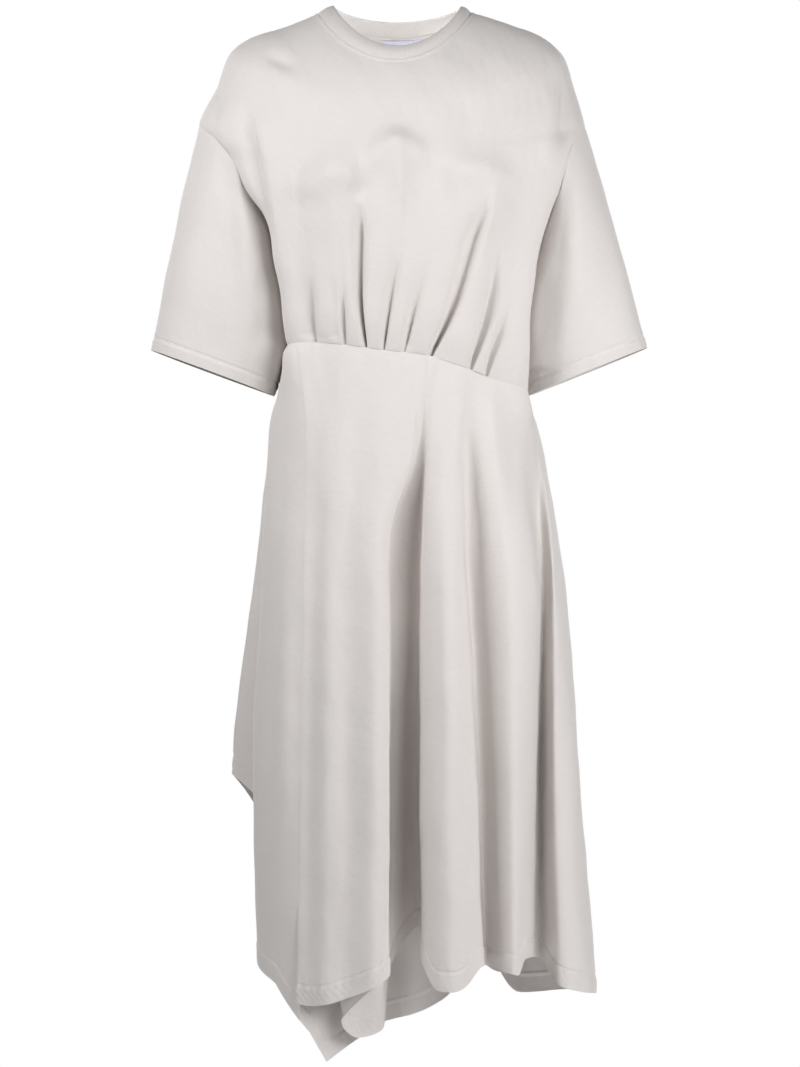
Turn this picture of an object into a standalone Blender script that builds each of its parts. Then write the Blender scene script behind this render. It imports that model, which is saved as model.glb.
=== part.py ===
"""A worn t-shirt dress as hollow cloth panels: bodice, two sleeves, neck rib, label and draped skirt.

The tables are in millimetres and the meshes in metres. +Z is up, the front faces -Y and the
wearer's right side is -X. The origin lies between the two neck points, where the shoulders
carry the dress. Each panel is a wall of jersey: a grid of outer points and the same grid moved
in by the thickness of the cloth.
"""
import math
from typing import NamedTuple

import bmesh
import bpy
import numpy as np

MILLIMETRE = 0.001
COLLECTION = "tshirt_dress"

JERSEY = 1.6            # wall of the body cloth
RIB = 2.4               # doubled rib of the neck band
LABEL = 0.9             # woven label
LABEL_GAP = 0.9         # it hangs clear of the curved back, sewn at its top edge
SEAM_GAP = 0.3          # between two pieces at their seam
PROBE, ANGLE_PROBE = 0.01, 0.5          # steps for reading a surface's tangents

# ---------------------------------------------------------------------------- sizes of the bodice

SIDE_Y = 4.0            # shoulder seams and side seams lie a little behind the middle
TIP, UNDERARM, WAIST = 1.0, 2.0, 3.0        # named sections of the bodice
DROP_SHAPE = 1.6        # how late a section drops from its side to its middle
ARMHOLE_FRONT, ARMHOLE_BACK = 27.0, 24.0    # how far the armholes cut into the sections, degrees


class Section(NamedTuple):
    """One section of the bodice: 0 at the neck seam, 1 at the dropped armhole's tip,
    2 at the underarm and 3 at the waist seam."""
    at: float
    right_x: float
    right_z: float
    left_x: float
    left_z: float
    front_y: float
    front_z: float
    back_y: float
    back_z: float
    square: float


BODICE = (
    Section(0.00, -95, 9, 87, 10, -88, -56, 77, -11, 2.0),
    Section(0.20, -132, -7, 128, -3, -98, -71, 85, -27, 2.1),
    Section(0.40, -168, -18, 170, -19, -107, -88, 92, -45, 2.2),
    Section(0.60, -200, -38, 199, -43, -114, -106, 98, -69, 2.3),
    Section(0.80, -218, -80, 211, -82, -119, -128, 102, -102, 2.35),
    Section(1.00, -238, -126, 225, -130, -123, -152, 105, -138, 2.4),
    Section(1.25, -229, -142, 220, -146, -126, -168, 107, -155, 2.6),
    Section(1.50, -208, -166, 210, -170, -128, -187, 108, -176, 2.9),
    Section(1.75, -184, -199, 194, -204, -129, -211, 108, -205, 3.3),
    Section(2.00, -154, -242, 176, -246, -128, -240, 106, -240, 3.6),
    Section(2.33, -136, -293, 154, -312, -123, -292, 102, -292, 3.4),
    Section(2.66, -124, -344, 142, -380, -113, -346, 96, -346, 3.2),
    Section(3.00, -122, -397, 147, -449, -102, -402, 90, -410, 3.0),
)


class SeamPoint(NamedTuple):
    """Height of the slanted waist seam over one place across the body."""
    x: float
    z: float


WAIST_SEAM = (
    SeamPoint(-135, -399), SeamPoint(-101, -390), SeamPoint(-58, -394), SeamPoint(-16, -400),
    SeamPoint(24, -404), SeamPoint(70, -417), SeamPoint(108, -432), SeamPoint(155, -452),
)


class SideFold(NamedTuple):
    """Upright fold at the side of the bodice, where the wide panel turns back to the arm."""
    angle: float
    spread: float
    tip: float
    armhole: float
    underarm: float
    ribs: float
    waist: float


SIDE_FOLDS = (
    SideFold(-62, 15, 0, 5, 18, 23, 20),
    SideFold(61, 13, 0, 8, 13, 24, 19),
    SideFold(-119, 16, 0, 3, 8, 19, 14),
    SideFold(119, 16, 0, 3, 8, 14, 9),
)
SIDE_FOLD_SECTIONS = (1.0, 1.5, 2.0, 2.6, 3.0)


class Pleat(NamedTuple):
    """Unpressed pleat of the bodice front, running up and out from the waist seam."""
    seam_x: float
    middle_x: float
    top_x: float
    length: float
    depth: float


PLEATS = (
    Pleat(-98, -107, -121, 110, 4.0),
    Pleat(-62, -64, -70, 90, 3.5),
    Pleat(-37.5, -44.5, -43, 165, 6.0),
    Pleat(-16.4, -6, 10.5, 155, 5.0),
    Pleat(8, 26, 50, 125, 5.0),
    Pleat(40, 73, 102, 170, 6.5),
    Pleat(87, 110, 126, 130, 5.0),
    Pleat(107, 134, 149, 80, 4.5),
)
PLEAT_MIDDLE, PLEAT_TOP = 72.0, 165.0       # heights above the seam of the places in the table
PLEAT_NARROW, PLEAT_WIDENING = 3.6, 0.065   # half width at the seam, and gained for each mm up
LIP_SHARE = 0.34                            # most of the way to the next pleat that a lip may lie
PLEAT_CAUGHT = 0.3                          # share of the depth left where the seam holds it
PLEAT_RELEASE = 22.0                        # height over which a pleat opens to its depth
BLOUSE, BLOUSE_HEIGHT = 4.0, 46.0           # fullness that hangs out over the seam

# ------------------------------------------------------------------------------ sizes of the skirt

HIP, THIGH, KNEE, SHIN = -500.0, -700.0, -880.0, -1150.0
SKIRT_EASE_IN = 60.0    # below the waist, over which the skirt leaves the seam's own outline


class Fold(NamedTuple):
    """Ridge, valley or edge of the skirt, followed from the waist to the hem."""
    name: str
    waist_angle: float
    hip: tuple
    thigh: tuple
    knee: tuple
    shin: tuple
    hem_z: float


SKIRT = (
    Fold("front seam, right", -55, (-110, -82), (-113, -98), (-115, -108), (-118, -122), -1166),
    Fold("panel trough", -49, (-96, -89), (-100, -104), (-103, -114), (-105, -131), -1168),
    Fold("panel ridge", -42, (-80, -97), (-82, -116), (-84, -129), (-84, -147), -1165),
    Fold("broad trough", -30, (-58, -104), (-60, -121), (-60, -134), (-60, -152), -1157),
    Fold("panel crown", -8, (-4, -111), (-24, -135), (-25, -151), (-25, -167), -1142),
    Fold("overlap edge", 0, (20, -110), (-9.5, -127), (-9.5, -140), (-9.5, -153), -1130),
    Fold("overlap turn", 0.8, (22, -108.5), (-8, -116), (-30, -124), (-66, -133), -1186),
    Fold("inner lobe", 1.9, (23.5, -107.5), (-3, -109), (-20, -116), (-40, -125), -1204),
    Fold("inner lobe edge", 3.1, (25.2, -106.5), (3, -101), (-5, -104), (-9, -112), -1192),
    Fold("deep valley", 4.4, (28, -103), (10, -91), (8, -86), (6, -84), -1111),
    Fold("deep valley, left", 6.4, (32, -103), (21, -93), (23, -87), (25, -86), -1085),
    Fold("first lobe edge", 8.5, (37, -107), (28.5, -116), (28, -130), (29.5, -140), -1118),
    Fold("first lobe", 13.6, (52, -110), (54, -138), (58, -156), (62, -170), -1147),
    Fold("first lobe, left", 20.4, (76, -108), (88, -127), (94, -140), (103, -149), -1120),
    Fold("second valley", 26, (90, -103), (104, -110), (109, -113), (114, -112), -1123),
    Fold("second lobe", 36.6, (114, -98), (133, -124), (135, -138), (135, -148), -1129),
    Fold("second lobe, left", 51, (141, -78), (160, -106), (155, -118), (148, -128), -1113),
    Fold("front seam, left", 73, (163, -46), (173, -74), (172, -76), (170, -74), -1119),
    Fold("third lobe edge", 80, (166, -33), (184, -84), (184, -98), (191, -112), -1147),
    Fold("third lobe", 86, (169, -17), (194, -66), (203, -84), (217, -104), -1155),
    Fold("left side", 97, (170, 8), (202, -22), (215, -34), (236, -48), -1162),
    Fold("left rear trough", 108, (165, 33), (193, 26), (204, 24), (221, 22), -1168),
    Fold("left rear lobe", 121, (147, 67), (174, 84), (188, 94), (204, 104), -1174),
    Fold("rear valley 1", 134, (112, 90), (128, 98), (138, 102), (150, 108), -1178),
    Fold("rear lobe 1", 147, (80, 104), (86, 132), (96, 152), (108, 168), -1183),
    Fold("rear valley 2", 161, (36, 104), (40, 116), (48, 122), (54, 128), -1190),
    Fold("rear lobe 2", 176, (-8, 109), (-5, 134), (0, 154), (4, 172), -1216),
    Fold("rear valley 3", 191, (-43, 102), (-45, 114), (-48, 120), (-50, 126), -1222),
    Fold("rear lobe 3", 207, (-76, 96), (-84, 118), (-92, 136), (-98, 150), -1214),
    Fold("rear seam", 219, (-100, 83), (-108, 96), (-116, 106), (-124, 116), -1180),
    Fold("drape back", 232, (-125, 69), (-142, 84), (-152, 94), (-158, 98), -1060),
    Fold("drape corner", 248, (-152, 40), (-177, 52), (-197, 60), (-203, 62), -908),
    Fold("drape inner turn", 262, (-150, 6), (-142, 18), (-122, 20), (-110, 20), -1030),
    Fold("drape edge", 278, (-154, -30), (-164, -36), (-173, -40), (-166, -44), -1128),
    Fold("drape side", 292, (-132, -63), (-140, -78), (-146, -86), (-146, -92), -1160),
)
FRONT_FIRST, FRONT_LAST = 0, 17         # rows of the table that are seams
REAR_SEAM = 29
FRONT_EACH, BACK_EACH, DRAPE_EACH = 3, 3, 3     # columns of the panels for each fold
SKIRT_ROWS = 16


class PointFold(NamedTuple):
    """Place on the drape's long corner, which hangs behind the front panel's hem."""
    x: float
    y: float
    top_z: float
    hem_z: float


LONG_CORNER = (
    PointFold(-41, -97, -1140, -1206),
    PointFold(-63, -104, -1128, -1221),
    PointFold(-84, -110, -1118, -1236),
    PointFold(-103, -115, -1108, -1211),
)
CORNER_SEAM_HEM = -1187.0               # the drape's hem under the front seam
VENT_TOP, VENT_DEPTH = -1040.0, 5.0     # the front panel hangs free over the drape below here

# ------------------------------------------------------------------------------- sizes of sleeves


class Cuff(NamedTuple):
    """Open end of a sleeve: its outer and inner corners and its middle depth. The sway is how far
    its inner side swings to the waist above the hem."""
    outer: tuple
    inner: tuple
    middle_y: float
    half_depth: float
    square: float
    sway: float


CUFFS = {
    "sleeve_right": Cuff((-296, -396), (-153, -449), 10, 60, 2.3, 19),
    "sleeve_left": Cuff((299, -393), (158, -450), 10, 60, 2.3, 10),
}
SLEEVE_FULLNESS = 5.0                   # how far a sleeve bellies out between its ends
SLEEVE_ROWS = 9
SWAY_LATE = 1.45        # puts the sway's largest place under the middle of the sleeve

# ----------------------------------------------------------------------------- sizes of the collar


class BandRing(NamedTuple):
    """One ring of the neck band, from its seam up to its folded edge."""
    right_x: float
    right_z: float
    left_x: float
    left_z: float
    front_y: float
    front_z: float
    back_y: float
    back_z: float


NECK_BAND = (
    BandRing(-94.8, 9.3, 86.8, 10.3, -87.9, -55.7, 76.9, -10.7),
    BandRing(-87, 14, 81.5, 14.5, -83, -47, 72.5, -3),
    BandRing(-78, 18, 76, 17, -75, -39, 66.5, 5),
)
BAND_ROUND = 44

LABEL_X = (-19, 29)                     # across the inside of the back neck
LABEL_SECTIONS = (0.05, 0.22)
LABEL_COLUMNS, LABEL_ROWS = 6, 3

# ------------------------------------------------------------------------------------- mathematics


def smooth(keys, values, at):
    """Monotone cubic curve through (keys, values), read at `at`."""
    keys, values = np.asarray(keys, float), np.asarray(values, float)
    at = np.clip(at, keys[0], keys[-1])
    step = np.diff(keys)
    slope = np.diff(values) / step
    tangent = np.concatenate(([slope[0]], np.zeros(len(keys) - 2), [slope[-1]]))
    same_way = slope[:-1] * slope[1:] > 0
    pair = slope[:-1] + slope[1:]
    harmonic = 2 * slope[:-1] * slope[1:] / np.where(pair == 0, 1, pair)
    tangent[1:-1] = np.where(same_way, harmonic, 0)
    i = np.clip(np.searchsorted(keys, at, side="right") - 1, 0, len(step) - 1)
    t = (at - keys[i]) / step[i]
    return (values[i] * (1 + 2 * t) * (1 - t) ** 2 + values[i + 1] * t * t * (3 - 2 * t)
            + step[i] * (tangent[i] * t * (1 - t) ** 2 - tangent[i + 1] * t * t * (1 - t)))


def ease(t):
    """Rise from 0 to 1 with level ends."""
    t = np.clip(t, 0, 1)
    return t * t * (3 - 2 * t)


def column(table, name):
    """One named column of a table."""
    return [getattr(row, name) for row in table]


def read(table, name, at):
    """A column of the bodice's table at section `at`."""
    return smooth(column(table, "at"), column(table, name), at)


def signed_power(value, power):
    """A power that keeps the sign."""
    return np.sign(value) * np.abs(value) ** power


def centripetal(a, b, c, d, t):
    """Rounded curve from b to c at share t, with a and d as its neighbours."""
    root = [np.maximum(np.linalg.norm(q - p, axis=-1, keepdims=True), 1e-6) ** 0.5
            for p, q in ((a, b), (b, c), (c, d))]
    t1 = root[0]
    t2 = t1 + root[1]
    t3 = t2 + root[2]
    s = t1 + (t2 - t1) * t[..., None]
    ab = (a * (t1 - s) + b * s) / t1
    bc = (b * (t2 - s) + c * (s - t1)) / (t2 - t1)
    cd = (c * (t3 - s) + d * (s - t2)) / (t3 - t2)
    abc = (ab * (t2 - s) + bc * s) / t2
    bcd = (bc * (t3 - s) + cd * (s - t1)) / (t3 - t1)
    return (abc * (t2 - s) + bcd * (s - t1)) / (t2 - t1)


def unit(vectors):
    """Vectors of length 1."""
    return vectors / np.maximum(np.linalg.norm(vectors, axis=-1, keepdims=True), 1e-9)


def normals(surface, u, v, u_step, v_step):
    """Outward normals of surface(u, v), whose u runs to the wearer's left over the front and v down."""
    across = surface(u + u_step, v) - surface(u - u_step, v)
    down = surface(u, v + v_step) - surface(u, v - v_step)
    return unit(np.cross(down, across))


def inset(surface, u, v, probe):
    """Columns u with the first and the last moved in along the surface by half a seam's gap."""
    u = np.array(u)
    for side, way in ((0, 1), (-1, -1)):
        ahead, behind = surface(u[:, side] + probe, v[:, side]), surface(u[:, side] - probe, v[:, side])
        speed = np.linalg.norm(ahead - behind, axis=-1) / (2 * probe)
        u[:, side] += way * SEAM_GAP / 2 / speed
    return u


# ------------------------------------------------------------------------------------- the bodice


def seam_height(x):
    """Height of the waist seam."""
    return smooth(column(WAIST_SEAM, "x"), column(WAIST_SEAM, "z"), x)


def ring_width(at):
    """Middle and half width of a bodice section."""
    right, left = read(BODICE, "right_x", at), read(BODICE, "left_x", at)
    return (left + right) / 2, (left - right) / 2


def pleat_paths(height):
    """Where each pleat lies across the body at a height above the seam."""
    return [smooth((0, PLEAT_MIDDLE, PLEAT_TOP), (p.seam_x, p.middle_x, p.top_x), height)
            for p in PLEATS]


def pleat_width(height):
    """Half width of a pleat at a height above the seam."""
    return PLEAT_NARROW + PLEAT_WIDENING * np.maximum(height, 0)


def pleating(x, height):
    """How far the pleats and the fullness between them move the bodice front out."""
    width = pleat_width(height)
    opened = PLEAT_CAUGHT + (1 - PLEAT_CAUGHT) * ease(height / PLEAT_RELEASE)
    move = BLOUSE * ease(height / (0.5 * BLOUSE_HEIGHT)) * (1 - ease(height / (3 * BLOUSE_HEIGHT)))
    for pleat, path in zip(PLEATS, pleat_paths(height)):
        fade = 1 - ease(height / pleat.length)
        move = move - pleat.depth * opened * fade * np.exp(-((x - path) / width) ** 2)
    return move


def table_height(sine, cosine, at):
    """Height of a bodice section as the table gives it, at its sides and middles."""
    side_z = read(BODICE, "right_z", at) * (1 - sine) / 2 + read(BODICE, "left_z", at) * (1 + sine) / 2
    middle_z = np.where(cosine > 0, read(BODICE, "front_z", at), read(BODICE, "back_z", at))
    return side_z + (middle_z - side_z) * np.abs(cosine) ** DROP_SHAPE


def bodice(angle, at, pleated=True):
    """Outer point of the bodice. The angle is in degrees from the front's middle."""
    turn = np.radians(angle)
    sine, cosine = np.sin(turn), np.cos(turn)
    power = 2 / read(BODICE, "square", at)
    middle, half = ring_width(at)
    depth = np.where(cosine > 0, SIDE_Y - read(BODICE, "front_y", at), read(BODICE, "back_y", at) - SIDE_Y)
    x = middle + half * signed_power(sine, power)
    y = SIDE_Y - depth * signed_power(cosine, power)
    z = table_height(sine, cosine, at)
    waist_middle, waist_half = ring_width(WAIST)
    waist_power = 2 / read(BODICE, "square", WAIST)
    seam = seam_height(waist_middle + waist_half * signed_power(sine, waist_power))
    z = z + (seam - table_height(sine, cosine, WAIST)) * np.clip(at - UNDERARM, 0, 1) ** 2
    move = np.zeros_like(x)
    for fold in SIDE_FOLDS:
        height = smooth(SIDE_FOLD_SECTIONS, fold[2:], at)
        away = (angle - fold.angle + 180) % 360 - 180
        move = move + height * np.exp(-(away / fold.spread) ** 2)
    if pleated:
        front = ease(cosine * 3) * ease((at - 1.5) / 0.5)
        move = move + front * pleating(x, z - seam)
    return np.stack((x + move * sine, y - move * cosine, z), axis=-1)


def bodice_normals(angle, at):
    """Outward normals of the bodice."""
    return normals(bodice, angle, at, ANGLE_PROBE, PROBE)


def armhole_edge(at, notch):
    """Angle at which a section ends: the side, or the armhole between its tip and the underarm."""
    turn = np.arccos(np.clip(1.0 - 2.0 * (at - TIP), -1, 1))
    inside = (at > TIP) & (at < UNDERARM)
    return 90.0 - notch * np.where(inside, np.sin(turn), 0)


def armhole_sections(count):
    """Sections that share the armhole's edge out evenly, from its tip to the underarm."""
    return [TIP + (1 - math.cos(math.pi * k / count)) / 2 for k in range(1, count)]


ARMHOLE_ROWS = 8
BODICE_ROWS = ([0, 0.15, 0.34, 0.52, 0.68, 0.84, TIP] + armhole_sections(ARMHOLE_ROWS)
               + [UNDERARM, 2.2, 2.4, 2.58, 2.73, 2.85, 2.94, WAIST])


def pleat_columns(at):
    """Angles of the bodice front's columns: three on each pleat, one between and some to each side."""
    height = (WAIST - at) * PLEAT_TOP
    paths, width = pleat_paths(height), 1.25 * pleat_width(height)
    places = []
    for before, path, after in zip([-np.inf] + paths[:-1], paths, paths[1:] + [np.inf]):
        if places:
            places.append((before + path) / 2)
        places += [path - min(width, LIP_SHARE * (path - before)), path,
                   path + min(width, LIP_SHARE * (after - path))]
    middle, half = ring_width(at)
    power = read(BODICE, "square", at) / 2
    share = np.clip((np.array(places) - middle) / half, -0.97, 0.97)
    inner = list(np.degrees(np.arcsin(signed_power(share, power))))
    edge = armhole_edge(at, ARMHOLE_FRONT)
    spread = (0.12, 0.3, 0.5, 0.72)
    right = [-edge + (inner[0] + edge) * s for s in (0.0,) + spread]
    left = [edge - (edge - inner[-1]) * s for s in reversed((0.0,) + spread)]
    return np.array(right + inner + left)


def front_columns(at):
    """Columns of the bodice front: along the pleats below, evenly spread over the yoke."""
    pleated = pleat_columns(np.float64(max(at, UNDERARM)))
    edge = float(armhole_edge(np.float64(at), ARMHOLE_FRONT))
    pleated = pleated - (90 - edge) * signed_power(pleated / 90, 2)
    even = np.linspace(-edge, edge, len(pleated))
    share = float(ease(np.float64((at - 0.2) / 1.6)))
    return even + (pleated - even) * share


def bodice_front():
    """Outer points and normals of the bodice front."""
    angle = np.array([front_columns(at) for at in BODICE_ROWS])
    at = np.broadcast_to(np.array(BODICE_ROWS)[:, None], angle.shape)
    angle = inset(bodice, angle, at, ANGLE_PROBE)
    return bodice(angle, at), bodice_normals(angle, at)


def bodice_back():
    """Outer points and normals of the bodice back, on the same columns as the skirt below it."""
    places = np.concatenate((panel_places(FRONT_LAST, REAR_SEAM, BACK_EACH),
                             panel_places(REAR_SEAM, len(SKIRT), DRAPE_EACH)[1:]))
    seam_angles = waist_angle(places)
    inside = (seam_angles > 97) & (seam_angles < 263)
    from_rear = np.concatenate(([-90.0], seam_angles[inside] - 180, [90.0]))
    angle = []
    for at in BODICE_ROWS:
        reach = 180 - float(armhole_edge(np.float64(at), -ARMHOLE_BACK))
        angle.append(180 + from_rear - (90 - reach) * signed_power(from_rear / 90, 2))
    at = np.broadcast_to(np.array(BODICE_ROWS)[:, None], np.shape(angle))
    angle = inset(bodice, angle, at, ANGLE_PROBE)
    return bodice(angle, at), bodice_normals(angle, at)


# ------------------------------------------------------------------------------------- the sleeves


def armhole_loop(side):
    """Points and normals round one armhole, from its tip down the front and up the back."""
    turn = np.linspace(0, 2 * math.pi, 2 * ARMHOLE_ROWS, endpoint=False)
    at = TIP + (1 - np.cos(turn)) / 2
    front = 90 - ARMHOLE_FRONT * np.maximum(np.sin(turn), 0)
    angle = side * (front + ARMHOLE_BACK * np.maximum(-np.sin(turn), 0))
    return bodice(angle, at), bodice_normals(angle, at)


def sleeve(cuff, side):
    """Outer points and normals of a sleeve, round (from the tip over the front) by down."""
    root, root_normals = armhole_loop(side)
    turn = np.linspace(0, 2 * math.pi, 2 * ARMHOLE_ROWS, endpoint=False)
    power = 2 / cuff.square
    outer, inner = np.array(cuff.outer, float), np.array(cuff.inner, float)
    middle, reach = (outer + inner) / 2, (outer - inner) / 2
    along = signed_power(np.cos(turn), power)
    end = np.stack((middle[0] + reach[0] * along,
                    cuff.middle_y - cuff.half_depth * signed_power(np.sin(turn), power),
                    middle[1] + reach[1] * along), axis=-1)
    out = unit(np.stack((side * np.cos(turn), -np.sin(turn), np.zeros_like(turn)), axis=-1))
    rows = []
    for share in np.linspace(0, 1, SLEEVE_ROWS):
        belly = SLEEVE_FULLNESS * math.sin(math.pi * share) * (0.35 + 0.65 * np.abs(np.sin(turn)))
        swing = np.maximum(-np.cos(turn), 0) * cuff.sway * math.sin(math.pi * share ** SWAY_LATE)
        swung = np.stack((-side * swing, 0 * swing, 0 * swing), axis=-1)
        rows.append(root + (end - root) * share + out * belly[:, None] + swung)
    grid = np.array(rows)
    across = np.roll(grid, -1, axis=1) - np.roll(grid, 1, axis=1)
    facing = -side * unit(np.cross(np.gradient(grid, axis=0), across))
    facing[0] = unit(root_normals + facing[0])
    return grid, facing


# --------------------------------------------------------------------------------------- the skirt


def panel_places(first, last, each):
    """Where a skirt panel's columns lie, counted in folds of the table."""
    return np.linspace(first, last, (last - first) * each + 1)


def waist_angle(place):
    """Angle on the waist seam at which a column of the skirt starts."""
    count = len(SKIRT)
    keys = np.arange(-1, count + 2)
    angles = [SKIRT[k % count].waist_angle + 360 * (k // count) for k in keys]
    return smooth(keys, angles, place)


def waist_ring(place):
    """Point of the waist seam, shared by the skirt's top edge and the bodice."""
    angle = waist_angle(place)
    return bodice(angle, np.full(angle.shape, WAIST), pleated=False)


def fold_track(fold, z):
    """Plan position of one fold at height z."""
    waist = bodice(np.float64(fold.waist_angle), np.float64(WAIST), pleated=False)
    keys = (SHIN, KNEE, THIGH, HIP, float(waist[2]))
    places = (fold.shin, fold.knee, fold.thigh, fold.hip, waist[:2])
    return np.stack([smooth(keys, [p[k] for p in places], z) for k in (0, 1)], axis=-1)


def skirt(place, z):
    """Outer point of the skirt at height z. The place counts the folds of the table round the ring."""
    count = len(SKIRT)
    first = np.floor(place).astype(int)
    share = place - first
    own = np.indices(z.shape)

    def plan(height):
        tracks = np.array([fold_track(fold, height) for fold in SKIRT])
        near = [tracks[((first + k) % count, *own)] for k in (-1, 0, 1, 2)]
        return centripetal(*near, share)

    waist = waist_ring(place)
    near_waist = ease(1 - (waist[..., 2] - z) / SKIRT_EASE_IN)[..., None]
    flat = plan(z) + (waist[..., :2] - plan(np.zeros_like(z))) * near_waist
    return np.concatenate((flat, z[..., None]), axis=-1)


def hem_height(place):
    """Height of the hem."""
    count = len(SKIRT)
    keys = np.arange(-2, count + 3)
    return smooth(keys, [SKIRT[k % count].hem_z for k in keys], place)


def skirt_panel(first, last, each):
    """Places and heights of a skirt panel's grid, from one seam of the table to another."""
    place = panel_places(first, last, each)
    top, hem = waist_ring(place)[..., 2], hem_height(place)
    share = np.linspace(0, 1, SKIRT_ROWS) ** 0.94
    z = top + (hem - top) * share[:, None]
    return inset(skirt, np.broadcast_to(place, z.shape), z, PROBE), z


def skirt_normals(place, z):
    """Outward normals of the skirt. Heights run up, so the step down is negative."""
    across = skirt(place + PROBE, z) - skirt(place - PROBE, z)
    down = skirt(place, z - 1.0) - skirt(place, z + 1.0)
    return unit(np.cross(down, across))


def skirt_drape():
    """Outer points and normals of the side drape, and which faces its long corner leaves out."""
    count = len(SKIRT)
    place, z = skirt_panel(REAR_SEAM, count, DRAPE_EACH)
    z = z.copy()
    span = np.linspace(0, 1, z.shape[0]) ** 0.94
    drop = np.clip(place - (count - 1), 0, 1) * (CORNER_SEAM_HEM - SKIRT[0].hem_z)
    z += drop * span[:, None]
    points, facing = skirt(place, z), skirt_normals(place, z)
    under = ease((place - (count - 2)) / 2) * ease((VENT_TOP - z) / 80)
    points = points - facing * (VENT_DEPTH * under)[..., None]
    corner = sorted(LONG_CORNER, key=lambda row: row.x)
    keys = np.array([c.x for c in corner])
    x = np.concatenate([np.linspace(a, b, 4)[1:] for a, b in zip(
        np.concatenate(([points[-1, -1, 0]], keys[:-1])), keys)])
    keys = np.concatenate(([points[-1, -1, 0]], keys))
    y = smooth(keys, [points[-1, -1, 1]] + column(corner, "y"), x)
    hem = np.interp(x, keys, [points[-1, -1, 2]] + column(corner, "hem_z"))
    start = int(np.argmin(np.abs(points[:, -1, 2] - (corner[0].top_z + 20))))
    top = np.interp(x, keys, [points[start, -1, 2]] + column(corner, "top_z"))
    share = (points[start:, -1, 2] - points[start, -1, 2]) / (points[-1, -1, 2] - points[start, -1, 2])
    extra = np.zeros((z.shape[0], len(x), 3))
    extra[start:, :, 2] = top + (hem - top) * share[:, None]
    extra[start:, :, 0] = x
    lean = points[start:, -1, 1] - points[-1, -1, 1]
    extra[start:, :, 1] = y + lean[:, None] * np.linspace(1, 0.4, len(x))
    grid = np.concatenate((points, extra), axis=1)
    across = np.gradient(grid[start:], axis=1)
    down = np.gradient(grid[start:], axis=0)
    lower = unit(np.cross(down, across))
    full = np.concatenate((facing, np.zeros_like(extra)), axis=1)
    full[start:, points.shape[1]:] = lower[:, points.shape[1]:]
    seam = points.shape[1] - 1
    full[start:, seam] = unit(full[start:, seam] + lower[:, seam])
    missing = np.zeros((grid.shape[0] - 1, grid.shape[1] - 1), bool)
    missing[:start, seam:] = True
    return grid, full, missing


# ------------------------------------------------------------------------------ collar and label


def band_ring(ring, turn):
    """Points round one ring of the neck band. The turn is from the front's middle."""
    sine, cosine = np.sin(turn), np.cos(turn)
    middle, half = (ring.left_x + ring.right_x) / 2, (ring.left_x - ring.right_x) / 2
    depth = np.where(cosine > 0, SIDE_Y - ring.front_y, ring.back_y - SIDE_Y)
    side_z = ring.right_z * (1 - sine) / 2 + ring.left_z * (1 + sine) / 2
    middle_z = np.where(cosine > 0, ring.front_z, ring.back_z)
    return np.stack((middle + half * sine, SIDE_Y - depth * cosine,
                     side_z + (middle_z - side_z) * np.abs(cosine) ** DROP_SHAPE), axis=-1)


def neck_band():
    """Outer points and normals of the neck band."""
    turn = np.linspace(-math.pi, math.pi, BAND_ROUND, endpoint=False)
    grid = np.array([band_ring(ring, turn) for ring in reversed(NECK_BAND)])
    across = np.roll(grid, -1, axis=1) - np.roll(grid, 1, axis=1)
    return grid, unit(np.cross(np.gradient(grid, axis=0), across))


def label_patch():
    """Outer points and normals of the label, on the inside of the bodice back."""
    x, at = np.meshgrid(np.linspace(*reversed(LABEL_X), LABEL_COLUMNS),
                        np.linspace(*LABEL_SECTIONS, LABEL_ROWS))
    middle, half = ring_width(at)
    angle = 180 - np.degrees(np.arcsin(signed_power((x - middle) / half, read(BODICE, "square", at) / 2)))
    return bodice(angle, at), bodice_normals(angle, at)


# --------------------------------------------------------------------------------- making solids


def material(name, colour, roughness):
    """A plain cloth material."""
    made = bpy.data.materials.new(name)
    made.use_nodes = True
    shader = made.node_tree.nodes["Principled BSDF"]
    shader.inputs["Base Color"].default_value = (*colour, 1)
    shader.inputs["Roughness"].default_value = roughness
    shader.inputs["Metallic"].default_value = 0
    return made


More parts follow.
